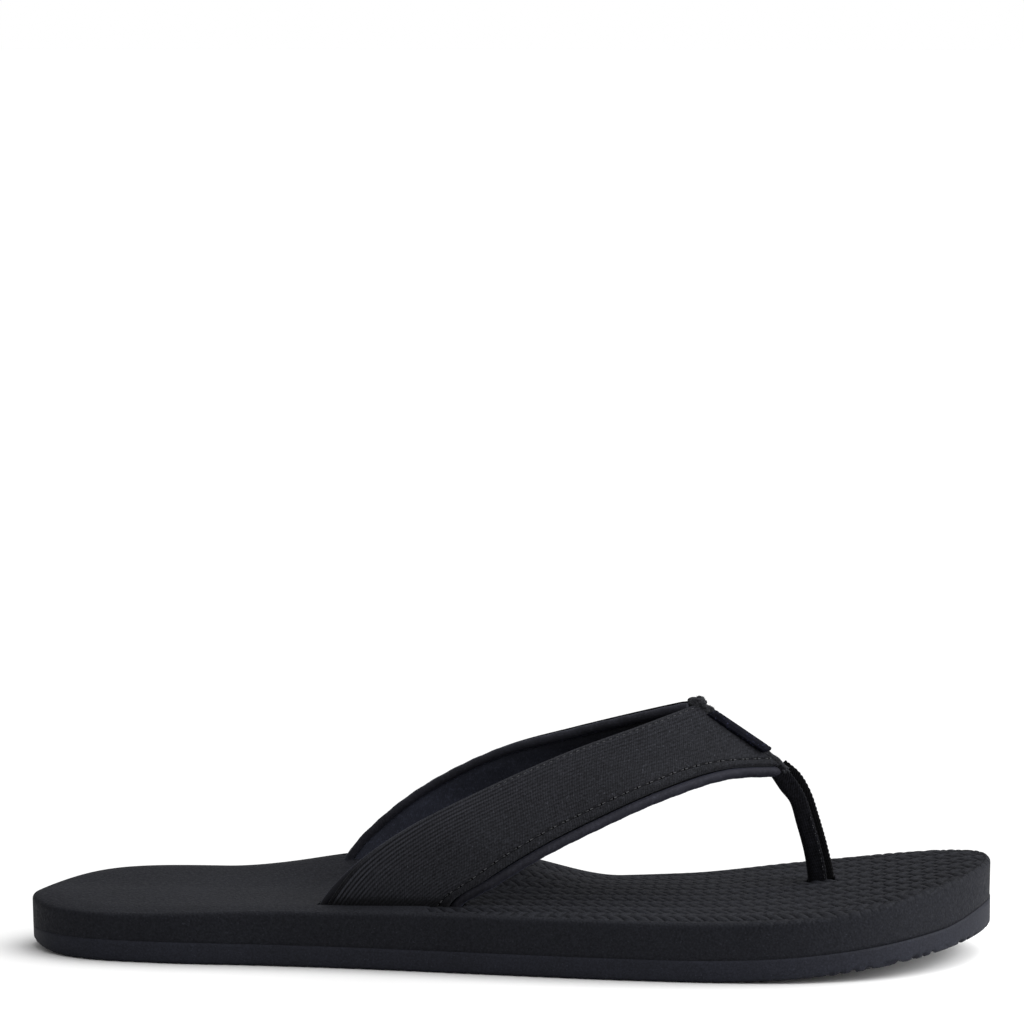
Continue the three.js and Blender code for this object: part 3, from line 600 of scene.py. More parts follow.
def limb_grid(name, rows, columns, inset, depth, start=0.0):
    """t and w of a grid over a limb, from start to the seam. inset says how far its rear and front
    edges lie in from the limb's, as numbers or functions of t."""
    share = (1 - np.cos(np.linspace(0, math.pi, columns))) / 2 * 0.35 + np.linspace(0, 1, columns) * 0.65
    end = crest_end(name, share, depth)
    t = start + (end - start)[None, :] * np.linspace(0, 1, rows)[:, None]
    width = limb_width(name, t)
    rear, front = (side(t) if callable(side) else side for side in inset)
    low, high = rear / width, 1 - front / width
    return t, low + (high - low) * share[None, :]


def run_length(points):
    """Distance along the first axis of a grid of points."""
    steps = np.linalg.norm(np.diff(points, axis=0), axis=-1)
    return np.concatenate([np.zeros((1,) + steps.shape[1:]), np.cumsum(steps, axis=0)])


def cloth_uv(name, t, w):
    """Along and across a limb, one unit to each centimetre."""
    middle = run_length(limb_points(name, t[:, t.shape[1] // 2], np.full(len(t), 0.5), 0))
    across = w * limb_width(name, t)
    return np.stack([np.broadcast_to(middle[:, None], t.shape), across], -1) / 10


def face_rear_inset(t):
    return 2.3 - 1.8 * smooth(0.06, 0.34, t)


def uneven_ribs(from_rear, t):
    """Ribs differ a little from one to the next and fade in and out along the strap."""
    number = np.floor(from_rear / RIB_PITCH)
    height = 0.5 + 0.5 * np.sin(number * 2.4 + 1.3 * np.sin(number * 5.1))
    fade = 0.5 + 0.5 * np.sin(t * 41 + number * 1.9) * np.sin(t * 17 - number * 0.7)
    return 0.55 + 0.3 * height + 0.3 * fade


def face_piece(name):
    """The ribbed outer textile: rolled hems, a stitch valley along the front one and fine ribs."""
    t, w = limb_grid(name, 330, 150, (face_rear_inset, FACE_FRONT_INSET), 0.4)
    width = limb_width(name, t)
    from_rear = w * width - face_rear_inset(t)
    from_front = (1 - w) * width - FACE_FRONT_INSET
    edge = np.clip(np.minimum(from_rear, from_front), 0, HEM_RADIUS)
    depth = HEM_RADIUS - np.sqrt(HEM_RADIUS ** 2 - (HEM_RADIUS - edge) ** 2)
    valley = np.exp(-((from_front - VALLEY_INSET) / VALLEY_HALF_WIDTH) ** 2)
    depth += VALLEY_DEPTH * valley
    bold = np.exp(-np.maximum(0, from_rear - 3) / 8) * (1 - 0.75 * smooth(0.32, 0.62, t))
    low = 1 - smooth(0.12, 0.4, t)
    strength = 0.12 + 0.88 * np.maximum(bold, 0.5 * low) + 0.5 * bold * low
    rib = 1 - np.abs(np.sin(math.pi * from_rear / RIB_PITCH)) ** 0.7
    strength = strength * smooth(0, 0.8, edge) * smooth(2.8, 3.6, from_front) * uneven_ribs(from_rear, t)
    depth += RIB_DEPTH * strength * rib
    outer = limb_points(name, t, w, depth)
    inner = limb_points(name, t, w, FACE_THICKNESS)
    # Rib gaps and the stitch valley get painted shade, and rib crests a painted highlight.
    relief_and_painted_shade = 0.5 + strength * (rib - 0.35) + 0.3 * valley
    # Painted shade along the rear edge, low on the strap.
    relief_and_painted_shade += 1.3 * (1 - smooth(0.4, 1.0, from_rear)) * (1 - smooth(0.16, 0.32, t))
    # Painted shade where the face comes down to the deck.
    above_deck = outer[..., 2] - deck_height(outer[..., 0], outer[..., 1], MID_DECK)
    relief_and_painted_shade += 0.5 * (1 - smooth(0.3, 3.2, above_deck))
    piece = slab_piece(f"strap_face_{name}_textile", outer, inner, cloth_uv(name, t, w), relief_and_painted_shade)
    return dressed(piece, "textile", "face_textile", f"strap_face_{name}")


def foam_piece(name):
    top = FACE_THICKNESS + LAYER_GAP
    t, w = limb_grid(name, 80, 24, (FOAM_INSET, FOAM_INSET), top)
    outer = limb_points(name, t, w, top)
    inner = limb_points(name, t, w, top + FOAM_THICKNESS)
    piece = slab_piece(f"strap_foam_{name}_sheet", outer, inner, cloth_uv(name, t, w))
    return dressed(piece, "padding", "padding", f"strap_foam_{name}")


def lining_piece(name):
    """The smooth lining, a little slack between its bindings."""
    top = TAPE_TOP + TAPE_THICKNESS + LAYER_GAP
    t, w = limb_grid(name, 220, 60, (LINING_INSET, LINING_INSET), top)
    from_edge = np.minimum(w, 1 - w) * limb_width(name, t) - LINING_INSET
    run = run_length(limb_points(name, t, w, 0))
    slack = 0.14 * np.sin(run / 5.3 + 2 * np.sin(w * 5)) + 0.08 * np.sin(run / 2.1 + 9 * w)
    valley = 0.45 * np.exp(-(from_edge / 0.7) ** 2)
    puff = 0.25 * smooth(0.2, 3, from_edge) + slack * smooth(0.5, 3, from_edge)
    outer = limb_points(name, t, w, top)
    inner = limb_points(name, t, w, top + LINING_THICKNESS + puff - valley)
    # Painted shade that deepens towards the crest.
    shadow = smooth(0.3, 0.7, t)
    piece = slab_piece(f"strap_lining_{name}_cloth", outer, inner, cloth_uv(name, t, w), shadow)
    return dressed(piece, "lining", "lining", f"strap_lining_{name}")


def tape_piece(name):
    """Reinforcing tape: along the limb, down through the slot and flat under the footbed."""
    t, w = limb_grid(name, 90, 20, (TAPE_INSET, TAPE_INSET), TAPE_TOP)
    outer = limb_points(name, t, w, TAPE_TOP)
    inner = limb_points(name, t, w, TAPE_TOP + TAPE_THICKNESS)
    tail = bond_line(0) + BOND_GAP + 0.3
    foot_outer, foot_inner = outer[:1].copy(), inner[:1].copy()
    foot_outer[..., 2], foot_inner[..., 2] = tail, tail + TAPE_THICKNESS
    tip_outer, tip_inner = foot_inner.copy(), foot_inner.copy()
    tip_outer[..., 1] -= SIDE_OF[name] * TAPE_TAIL
    tip_inner[..., 1] -= SIDE_OF[name] * TAPE_TAIL
    tip_outer[..., 2] = tail
    piece = slab_piece(f"strap_tape_{name}_webbing", np.vstack([tip_outer, foot_outer, outer]),
                       np.vstack([tip_inner, foot_inner, inner]))
    return dressed(piece, "webbing", "webbing", f"strap_tape_{name}")


def binding_piece(name, edge):
    """A folded strip along one edge, slightly wrinkled along its length."""
    rear = edge == "rear"
    end = crest_end(name, 0.02 if rear else 0.98, STACK / 2)[0] + BINDING_END
    t = np.linspace(0, end, 420)
    inset = BINDING_HALF_WIDTH / limb_width(name, t)
    point, normal, along = limb_frame(name, t, inset if rear else 1 - inset)
    across = unit(np.cross(along, normal))
    run = run_length(point)[:, None]
    angle = np.linspace(0, 2 * math.pi, 25)[:-1]
    cosine, sine = np.cos(angle)[None, :], np.sin(angle)[None, :]
    wrinkle = 0.03 * np.sin(run * 0.9 + 2 * sine) * (1 + cosine)
    wrinkle += 0.015 * np.sin(run * 3.1 + 1.7 + 3 * cosine)
    sink = 2.2 + (1.0 * smooth(0.08, 0.34, t) if rear else 0.35 * smooth(0.5, 0.8, t))
    centre = point - normal * sink[:, None]
    rings = (centre[:, None] + across[:, None] * (cosine * (BINDING_HALF_WIDTH + wrinkle))[..., None]
             + normal[:, None] * (sine * (BINDING_HALF_HEIGHT + wrinkle))[..., None])
    uv = np.stack(np.broadcast_arrays(run / 10, angle[None, :] * 0.15), -1)
    # Painted shade low on the outer limb's bindings.
    shadow = 0.62 * (1 - smooth(0.15, 0.5, t)) * (name == "lateral")
    piece = tube_piece(f"{edge}_binding_{name}_strip", rings, uv, np.repeat(shadow, len(angle)))
    return dressed(piece, f"{edge}_binding", "lining", f"{edge}_binding_{name}")


# ---- Pieces made by Geometry Nodes ----

def new_tree(name, inputs):
    """A tree with named inputs, and its input and output nodes."""
    tree = bpy.data.node_groups.new(name, "GeometryNodeTree")
    tree.interface.new_socket(name="Geometry", in_out="INPUT", socket_type="NodeSocketGeometry")
    for key, value in inputs.items():
        socket = tree.interface.new_socket(name=key, in_out="INPUT", socket_type="NodeSocketFloat")
        socket.default_value = value
    tree.interface.new_socket(name="Geometry", in_out="OUTPUT", socket_type="NodeSocketGeometry")
    return tree, tree.nodes.new("NodeGroupInput"), tree.nodes.new("NodeGroupOutput")


def realized(tree, copies, material):
    """The last step of each tree: copies made real, with their material."""
    real = add_node(tree, "GeometryNodeRealizeInstances", {0: copies})
    return add_node(tree, "GeometryNodeSetMaterial", {"Geometry": real, "Material": material})


def half(tree, value):
    return add_node(tree, "ShaderNodeMath", {0: value, 1: 0.5}, operation="MULTIPLY")


def stitch_tree(thread, painted_hole_shade):
    """Stitches along a curve: a bead of thread for each pitch, and between two beads a dark blob of painted
    needle-hole shade.
    """
    tree, start, end = new_tree("topstitch_row", in_metres(STITCHES["front"]))
    given = start.outputs
    points = add_node(tree, "GeometryNodeResampleCurve", {
        "Curve": given["Geometry"], "Length": given["Pitch"]}, mode="LENGTH")
    turn = add_node(tree, "FunctionNodeAxesToRotation", {
        "Primary Axis": add_node(tree, "GeometryNodeInputTangent", {}),
        "Secondary Axis": add_node(tree, "GeometryNodeInputNormal", {})},
        primary_axis="X", secondary_axis="Z")
    ball = add_node(tree, "GeometryNodeMeshUVSphere", {"Segments": 10, "Rings": 6, "Radius": 1})
    step = add_node(tree, "ShaderNodeCombineXYZ", {"X": half(tree, given["Pitch"])})
    whole = add_node(tree, "GeometryNodeJoinGeometry", {})
    for material, along, radius in ((thread, half(tree, given["Stitch Length"]), given["Thread Radius"]),
                                    (painted_hole_shade, given["Hole Radius"], given["Hole Radius"])):
        size = add_node(tree, "ShaderNodeCombineXYZ", {"X": along, "Y": radius, "Z": radius})
        copies = add_node(tree, "GeometryNodeInstanceOnPoints", {
            "Points": points, "Instance": ball, "Rotation": turn, "Scale": size})
        if material == painted_hole_shade:
            copies = add_node(tree, "GeometryNodeTranslateInstances", {
                "Instances": copies, "Translation": step})
        plug(tree, whole.node.inputs[0], realized(tree, copies, material))
    plug(tree, end.inputs[0], whole)
    return tree


def fuzz_tree(material):
    """Short loose fibres scattered over a surface."""
    tree, start, end = new_tree("loose_fibres", {"Density": 4e6, **in_metres(FIBRE)})
    given = start.outputs
    scatter = add_node(tree, "GeometryNodeDistributePointsOnFaces", {
        "Mesh": given["Geometry"], "Density": given["Density"], "Seed": 7}, "Points")
    fibre = add_node(tree, "GeometryNodeMeshCone", {
        "Vertices": 4, "Radius Top": 0.3, "Radius Bottom": 1, "Depth": 1}, "Mesh")
    spread = add_node(tree, "FunctionNodeRandomValue", {2: 0.3, 3: 1.0, "Seed": 3}, 1, data_type="FLOAT")
    tall = add_node(tree, "ShaderNodeMath", {0: given["Fibre Length"], 1: spread}, operation="MULTIPLY")
    size = add_node(tree, "ShaderNodeCombineXYZ", {
        "X": given["Fibre Radius"], "Y": given["Fibre Radius"], "Z": tall})
    tilt = add_node(tree, "FunctionNodeRandomValue", {
        0: (-0.8, -0.8, 0), 1: (0.8, 0.8, 6.28), "Seed": 5}, data_type="FLOAT_VECTOR")
    turn = add_node(tree, "FunctionNodeRotateRotation", {
        "Rotation": scatter.node.outputs["Rotation"], "Rotate By": tilt}, rotation_space="LOCAL")
    copies = add_node(tree, "GeometryNodeInstanceOnPoints", {
        "Points": scatter, "Instance": fibre, "Rotation": turn, "Scale": size})
    plug(tree, end.inputs[0], realized(tree, copies, material))
    return tree


def made_by_tree(name, source, tree, values):
    """The plain mesh that a tree makes from a source object, which is then removed."""
    modifier = source.modifiers.new(tree.name, "NODES")
    modifier.node_group = tree
    sockets = {item.name: item.identifier for item in tree.interface.items_tree if item.in_out == "INPUT"}
    for key, value in values.items():
        modifier[sockets[key]] = value
    mesh = evaluated_mesh(source)
    bpy.data.objects.remove(source)
    mesh.name = name
    smooth_shaded(mesh)
    return add_object(name, mesh)


def stitched_piece(name, points, kind, tree, node):
    """A row of stitches of one kind along points in millimetres."""
    curve = bpy.data.curves.new("stitch_path", "CURVE")
    curve.dimensions = "3D"
    curve.twist_mode = "Z_UP"
    spline = curve.splines.new("POLY")
    spline.points.add(len(points) - 1)
    flat = np.column_stack([points * MM, np.ones(len(points))])
    spline.points.foreach_set("co", flat.ravel())
    piece = made_by_tree(name, add_object("stitch_path", curve), tree, in_metres(STITCHES[kind]))
    return finish_piece(piece, "thread", node)


def stitching_piece(name, edge, tree):
    """A row of topstitching on a limb's face, from the deck to the crest."""
    rear = edge == "rear"
    end = crest_end(name, 0.1 if rear else 0.9, 0)[0] - 0.006
    t = np.linspace(0.5 if rear else 0.02, end, 500)
    inset = face_rear_inset(t) + REAR_STITCH_INSET if rear else FACE_FRONT_INSET + FRONT_STITCH_INSET
    from_edge = inset / limb_width(name, t)
    points = limb_points(name, t, from_edge if rear else 1 - from_edge, 0.08 if rear else 0.32)
    above = points[:, 2] > deck_height(points[:, 0], points[:, 1], MID_DECK) + 0.6
    points = points[above.argmax():]
    return stitched_piece(f"{edge}_stitching_{name}_thread", points, edge, tree, f"{edge}_stitching_{name}")


# ---- Toe post ----

WEB_LOW, WEB_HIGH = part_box("toe_post_webbing")
DISC_LOW, DISC_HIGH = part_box("toe_anchor_disc")
POST_X = (DISC_LOW.x + DISC_HIGH.x) / 2 / MM
POST_FOOT = WEB_LOW.z / MM
POST_DECK = float(deck_height(np.array(POST_X), np.array(CREST_Y), MID_DECK))
CREST_FRONT = edge_at("lateral", "front", np.array(CREST_T))
CREST_REAR = edge_at("lateral", "rear", np.array(CREST_T))
POST_RISE = CREST_FRONT[2] - POST_DECK

# Middle line of the post from its foot into the seam: x, z, and its shares of POST_WIDTH and POST_DEPTH.
POST_ROWS = [
    (POST_X, POST_FOOT, 1, 1),
    (POST_X, POST_DECK, 1, 1),
    (POST_X - 1.5, POST_DECK + POST_RISE * 0.26, 1, 0.92),
    (POST_X - 4.0, POST_DECK + POST_RISE * 0.54, 1, 0.9),
    (POST_X - 6.3, POST_DECK + POST_RISE * 0.76, 0.9, 0.88),
    (POST_X - 9.3, POST_DECK + POST_RISE * 0.9, 0.65, 0.98),
    (POST_X - 13, POST_DECK + POST_RISE * 1.03, 0.4, 0.8),
]


def post_section():
    """Section of the folded webbing, with its fold to the heel: depth along the foot, width across."""
    half_depth, half_width = POST_DEPTH / 2, POST_WIDTH / 2
    near_front = half_depth - 2.1
    gap = half_width - PLY_THICKNESS
    corners = [
        (near_front, -half_width + 0.2), (near_front - 0.3, -half_width), (0, -half_width - 0.06),
        (-2.4, -half_width), (-3.4, -half_width + 0.5), (-half_depth, -1.1), (-half_depth - 0.05, 0),
        (-half_depth, 1.1), (-3.4, half_width - 0.5), (-2.4, half_width), (0.5, half_width + 0.05),
        (half_depth - 0.4, half_width - 0.1), (half_depth, half_width - 0.5),
        (half_depth - 0.1, gap + 0.35), (half_depth - 0.5, gap + 0.1), (0.5, gap - 0.1), (-1.8, gap - 0.25),
        (-2.3, 0.1), (-1.8, -gap + 0.15), (0, -gap - 0.05), (near_front - 0.3, -gap - 0.1),
        (near_front, -gap - 0.3),
    ]
    return curve_points(corners, np.linspace(0, 1, 89)[:-1], closed=True)


def post_piece():
    """The folded webbing from its foot up into the seam, ribbed along its selvedges."""
    rows = np.array(POST_ROWS)
    path = curve_points(rows, np.linspace(0, 1, 150))
    centre = np.stack([path[:, 0], np.full(len(path), CREST_Y), path[:, 1]], -1)
    along = unit(np.gradient(centre, axis=0))
    forward = unit(np.cross(np.array([0, 1, 0]), along))
    run = run_length(centre)
    section = post_section()
    depth = section[None, :, 0] * path[:, 3:4]
    width = section[None, :, 1] * path[:, 2:3]
    forward_share = section[:, 0] / (POST_DEPTH / 2)
    selvedge = smooth(0.7, 1, forward_share)
    selvedge += smooth(0.32, 0.45, forward_share) * (section[:, 1] < 0)
    depth = depth + 0.22 * np.abs(np.sin(run[:, None] * math.pi / 1.3)) * np.clip(selvedge, 0, 1)[None, :]
    rings = centre[:, None] + forward[:, None] * depth[..., None]
    rings[..., 1] += width
    loop = run_length(np.vstack([section, section[:1]])[:, None])[:-1, 0]
    uv = np.stack(np.broadcast_arrays(run[:, None] / 10, loop[None, :] / 10), -1)
    # Painted shade on the inner faces of the fold and on the far ply.
    inside = smooth(-1.9, -1.2, section[:, 1])
    inside *= 1 - smooth(POST_WIDTH / 2 - 0.6, POST_WIDTH / 2, section[:, 1])
    shade = inside * smooth(-POST_DEPTH / 2, -POST_DEPTH / 2 + 1.5, section[:, 0])
    relief_and_painted_shade = np.broadcast_to(shade[None, :], rings.shape[:2])
    piece = tube_piece("toe_post_webbing_fold", rings, uv, relief_and_painted_shade)
    parts = [piece, post_foot()]
    return joined("toe_post_webbing_fold", parts, "webbing", "webbing", "toe_post_webbing")


def post_foot():
    """The webbing's ends, folded out flat under the anchor disc."""
    low, high = np.array(WEB_LOW) / MM, np.array(WEB_HIGH) / MM
    top = DISC_LOW.z / MM - 0.3
    half = POST_DEPTH / 2
    y = np.linspace(low[1], high[1], 40)
    x = np.linspace(POST_X - half, POST_X + half, 14)
    grid_x, grid_y = np.meshgrid(x, y)
    wave = 0.08 * np.sin(grid_y * 2.1)
    upper = np.stack([grid_x, grid_y, top - 0.1 + wave * 0.8], -1)
    lower = np.stack([grid_x, grid_y, np.full(grid_x.shape, low[2]) + 0.05 + wave * 0.5], -1)
    return slab_piece("toe_post_foot", upper, lower)


def post_stitch_piece(tree):
    rows = np.array(POST_ROWS[1:4])
    path = curve_points(rows, np.linspace(0, 1, 60))
    lift = POST_WIDTH / 2 * path[:, 2] + 0.05
    points = np.stack([path[:, 0] + POST_DEPTH * path[:, 3] * 0.14, CREST_Y - lift, path[:, 1] + 1.0], -1)
    return stitched_piece("toe_post_stitching_thread", points, "post", tree, "toe_post_stitching")


# ---- Crest seam and label ----

CREST_RUN = unit(CREST_FRONT - CREST_REAR)
CREST_UP = unit(np.cross(np.array([0, -1, 0]), CREST_RUN))
CREST_LENGTH = float(np.linalg.norm(CREST_FRONT - CREST_REAR))

# Lumps of gathered cloth: how far along the crest and above it, half sizes, seed and number of bumps.
CREST_LUMPS = [
    (0.3, 0.1, (1.5, 1.4, 1.4), 3, 4),
    (-0.3, -0.8, (2.7, 1.7, 1.5), 4, 4),
    (2.8, -0.9, (2.4, 1.5, 1.2), 8, 6),
    (CREST_LENGTH - 1.9, -1.6, (1.4, 1.3, 1.1), 5, 4),
]


def crest_at(w, raised):
    """Points raised above the crest line at shares w of its length."""
    along = (CREST_FRONT - CREST_REAR) * np.asarray(w)[..., None]
    return CREST_REAR + along + CREST_UP * np.asarray(raised)[..., None]


def seam_ridge():
    """The turned seam allowance along the crest: a soft, slightly uneven ridge."""
    w = np.linspace(0.01, 0.96, 160)
    run = w * CREST_LENGTH
    angle = np.linspace(0, 2 * math.pi, 21)[:-1]
    half_width = 0.62 + 0.08 * np.sin(run * 1.9) + 0.05 * np.sin(run * 4.3)
    top = 0.55 + 0.12 * np.sin(run * 1.3 + 1) - 0.5 * smooth(0.8, 0.96, w)
    bottom = -2.2
    centre = crest_at(w, (top + bottom) / 2)
    up = (top - bottom)[:, None, None] / 2 * np.sin(angle)[None, :, None] * CREST_UP
    rings = centre[:, None] + up
    rings[..., 1] += half_width[:, None] * np.cos(angle)[None, :]
    return tube_piece("crest_ridge", rings)


def lump(centre, size, seed, bumps):
    """A small lump of gathered cloth."""
    work = bmesh.new()
    bmesh.ops.create_icosphere(work, subdivisions=5, radius=1)
    points = np.array([v.co for v in work.verts])
    faces = [[v.index for v in f.verts] for f in work.faces]
    work.free()
    random = np.random.default_rng(seed)
    bulge = np.ones(len(points))
    for _ in range(bumps):
        direction = unit(random.normal(size=3))
        bulge += 0.07 * np.sin(points @ direction * random.uniform(3, 8) + random.uniform(0, 6))
    return mesh_piece("lump", centre + points * bulge[:, None] * np.array(size), faces)


def crest_seam_piece():
    """The seam allowance, with the knob of gathered cloth at its rear end."""
    parts = [seam_ridge()]
    for along, up, size, seed, bumps in CREST_LUMPS:
        parts.append(lump(CREST_REAR + CREST_RUN * along + CREST_UP * up, size, seed, bumps))
    return joined("crest_seam_gather", parts, "textile_plain", "face_textile", "crest_seam")


def fibre_piece(seam):
    """Loose threads on the crest seam."""
    source = add_object("fibre_source", seam.data.copy())
    values = {"Density": FIBRE_DENSITY, **in_metres(FIBRE)}
    piece = made_by_tree("crest_seam_fibres", source, fuzz_tree(MATERIALS["thread"]), values)
    return finish_piece(piece, "thread")


def flap_points(name, w, distance, raised):
    """Points over a limb at distances down from the crest."""
    end = crest_end(name, 0.4, 0)[0]
    step = limb_points(name, end, 0.4, 0) - limb_points(name, end - 0.05, 0.4, 0)
    speed = np.linalg.norm(step) / 0.05
    return limb_points(name, end - distance / speed, w, -np.asarray(raised))


def label_piece():
    """A blank folded patch over the crest: short flap outside, long flap inside, a line round its border."""
    start = LABEL_START / CREST_LENGTH
    w = start + LABEL_LENGTH / CREST_LENGTH * np.linspace(0, 1, 90)
    outer = np.linspace(LABEL_OUTER_FLAP, 0, 12)[:-1]
    inner = np.linspace(0, LABEL_INNER_FLAP, 40)[1:]
    columns = [("lateral", d) for d in outer] + [("crest", 0.0)] + [("medial", d) for d in inner]
    span = np.array([-d if side == "lateral" else d for side, d in columns])
    along = (w - w[0]) * CREST_LENGTH
    edge = np.minimum(np.minimum(along, LABEL_LENGTH - along)[:, None],
                      np.minimum(span + LABEL_OUTER_FLAP, LABEL_INNER_FLAP - span)[None, :])
    radius = LABEL_EDGE_RADIUS
    rounded = radius - np.sqrt(radius ** 2 - (radius - np.clip(edge, 0, radius)) ** 2)
    line = LABEL_LINE_DEPTH * np.exp(-((edge - LABEL_LINE_INSET) / LABEL_LINE_HALF_WIDTH) ** 2)
    thickness = LABEL_THICKNESS - rounded - line
    lift = -0.5 + 0.95 * np.linspace(0, 1, len(w))
    tops, undersides = [], []
    for j, (side, distance) in enumerate(columns):
        under = lift + LABEL_CREST_LIFT * math.exp(-(distance / 1.2) ** 2)
        for points, raised in ((tops, under + thickness[:, j]), (undersides, under)):
            on_crest = side == "crest"
            points.append(crest_at(w, raised) if on_crest else flap_points(side, w, distance, raised))
    uv = np.stack(np.broadcast_arrays(along[:, None] / 10, span[None, :] / 10), -1)
    piece = slab_piece("crest_label_patch", np.stack(tops, 1), np.stack(undersides, 1), uv)
    return dressed(piece, "label", "label_film", "crest_label")


# ---- Materials ----

BLACK = (0, 0, 0)


def shade(color, factor):
    return tuple(c * factor for c in color)


class Finish:
    """A material and the nodes that make it. Values are numbers, colours or other nodes' outputs."""

    def __init__(self, name, base, roughness, specular, sheen=()):
        self.base = base
        self.material = bpy.data.materials.new(name)
        self.material.use_nodes = True
        self.tree = self.material.node_tree
        values = {"Base Color": base, "Roughness": roughness, "Specular IOR Level": specular}
        values.update(zip(("Sheen Weight", "Sheen Roughness", "Sheen Tint"), sheen))
        self.connect(values)

    def connect(self, values):
        for key, value in values.items():
            plug(self.tree, self.tree.nodes["Principled BSDF"].inputs[key], value)

    def done(self, color, normal=None, roughness=None):
        """Connects the finished colour, surface and gloss, and gives the material."""
        made = {"Base Color": color, "Normal": normal, "Roughness": roughness}
        self.connect({key: value for key, value in made.items() if value is not None})
        return self.material

    def add(self, kind, inputs, output=0, **settings):
        return add_node(self.tree, kind, inputs, output, **settings)

    def place(self):
        """Where a point lies on the piece, in metres."""
        return self.add("ShaderNodeTexCoord", {}, "Object")

    def cloth_place(self):
        """The cloth's own coordinates in centimetres: both together, then along it and across it."""
        both = self.add("ShaderNodeUVMap", {}, uv_map="cloth")
        along = self.add("ShaderNodeSeparateXYZ", {0: both})
        return both, along, along.node.outputs[1]

    # The point attribute that carries depth and painted shade.
    def relief_and_painted_shade(self, name="relief_and_painted_shade"):
        return self.add("ShaderNodeAttribute", {}, "Fac", attribute_name=name)

    def noise(self, scale, detail, roughness=0.6, where=None):
        inputs = {"Vector": where or self.place(), "Scale": scale, "Detail": detail, "Roughness": roughness}
        return self.add("ShaderNodeTexNoise", inputs, "Fac")

    def calc(self, operation, a, b=0):
        return self.add("ShaderNodeMath", {0: a, 1: b}, operation=operation)

    def wave(self, value, pitch):
        return self.calc("SINE", self.calc("MULTIPLY", value, 2 * math.pi / pitch))

    def weave(self, along, across, pitch_along, pitch_across):
        """A plain weave: threads each way, one over the other by turns. Pitches are in centimetres."""
        warp = self.wave(across, pitch_across)
        weft = self.wave(along, pitch_along)
        return self.calc("ADD", self.calc("MULTIPLY", warp, weft), self.calc("ABSOLUTE", warp))

    def remap(self, value, low, high, start=0.3, end=0.7):
        inputs = {"Value": value, "From Min": start, "From Max": end, "To Min": low, "To Max": high}
        return self.add("ShaderNodeMapRange", inputs, "Result")

    def ramp(self, value, low, high, start=0.3, end=0.7):
        """The base colour times low where value is at start, and times high where it is at end."""
        color = self.add("ShaderNodeValToRGB", {"Fac": value}, "Color")
        stops = zip(color.node.color_ramp.elements, (start, end), (low, high))
        for element, position, factor in stops:
            element.position = position
            element.color = (*shade(self.base, factor), 1)
        return color

    def mix(self, factor, first, second):
        return self.add("ShaderNodeMix", {0: factor, 6: first, 7: second}, 2, data_type="RGBA")

    def scaled(self, color, factor):
        """A colour times a grey factor, which may be above 1."""
        return self.add("ShaderNodeVectorMath", {0: color, "Scale": factor}, operation="SCALE")

    def flecked(self, color, scale, low, high):
        """A colour made unevenly darker and lighter in fine flecks."""
        return self.scaled(color, self.remap(self.noise(scale, 2, 0.7), low, high, 0.36, 0.64))

    def specked(self, color, fine, start, end, factor):
        """A colour with specks of the base colour times factor, where fine passes from start to end."""
        return self.mix(self.remap(fine, 0, 1, start, end), color, shade(self.base, factor))

    def with_painted_shade(self, color):
        """A colour darkened by painted shade, as much as the piece's point attribute says."""
        return self.mix(self.remap(self.relief_and_painted_shade(), 0, 0.7, 0, 1), color, BLACK)

    def bump(self, height, strength, distance, below=None):
        inputs = {"Height": height, "Strength": strength, "Distance": distance}
        if below is not None:
            inputs["Normal"] = below
        return self.add("ShaderNodeBump", inputs, "Normal")


def braid_gap(foam):
    """Depth between the braided grains, 0 to 1, finer than the mesh carries it, for bumps and painted shade.
    """
    x = foam.add("ShaderNodeSeparateXYZ", {0: foam.place()})
    columns = foam.calc("DIVIDE", x.node.outputs[1], GRAIN_COLUMN * MM)
    pair = foam.calc("FRACT", foam.calc("MULTIPLY", columns, 0.5))
    centred = foam.calc("ABSOLUTE", foam.calc("SUBTRACT", pair, 0.5))
    shift = foam.calc("MULTIPLY", centred, 2 * GRAIN_SLANT / GRAIN_PITCH)
    odd = foam.calc("MULTIPLY", foam.calc("FLOOR", columns), 0.5)
    grains = foam.calc("DIVIDE", x, GRAIN_PITCH * MM)
    start = foam.calc("ADD", odd, -0.5 * GRAIN_SLANT / GRAIN_PITCH)
    phase = foam.calc("ADD", foam.calc("ADD", grains, shift), start)
    along = foam.calc("ABSOLUTE", foam.wave(phase, 2))
    across = foam.calc("ABSOLUTE", foam.wave(columns, 2))
    nearest = foam.calc("MINIMUM", along, foam.calc("MULTIPLY", across, 1.6))
    return foam.calc("MULTIPLY", foam.remap(nearest, 1, 0, 0, 0.42), foam.relief_and_painted_shade("grained"))


def foam_material():
    """Closed-cell foam: matte near-black with a fine pebbled skin, pale specks and painted shade between its
    grains.
    """
    foam = Finish("closed_cell_foam", (0.0092, 0.0097, 0.0125), 0.85, 0.07)
    fine = foam.noise(900, 2)
    pores = foam.add("ShaderNodeTexVoronoi", {"Vector": foam.place(), "Scale": 1500}, "Distance")
    color = foam.flecked(foam.ramp(foam.noise(28, 4), 0.9, 1.12), 1700, 0.72, 1.32)
    color = foam.specked(color, foam.noise(2100, 1), 0.66, 0.74, 2.3)
    gap = braid_gap(foam)
    # Painted shade in the gaps between the grains.
    color = foam.mix(foam.calc("MULTIPLY", gap, GAP_SHADE), color, BLACK)
    grains = foam.bump(foam.calc("SUBTRACT", 1, gap), 0.5, 0.0004)
    skin = foam.calc("ADD", foam.calc("MULTIPLY", fine, 0.7), pores)
    return foam.done(color, foam.bump(skin, 0.5, 0.00022, grains), foam.remap(fine, 0.6, 0.85))


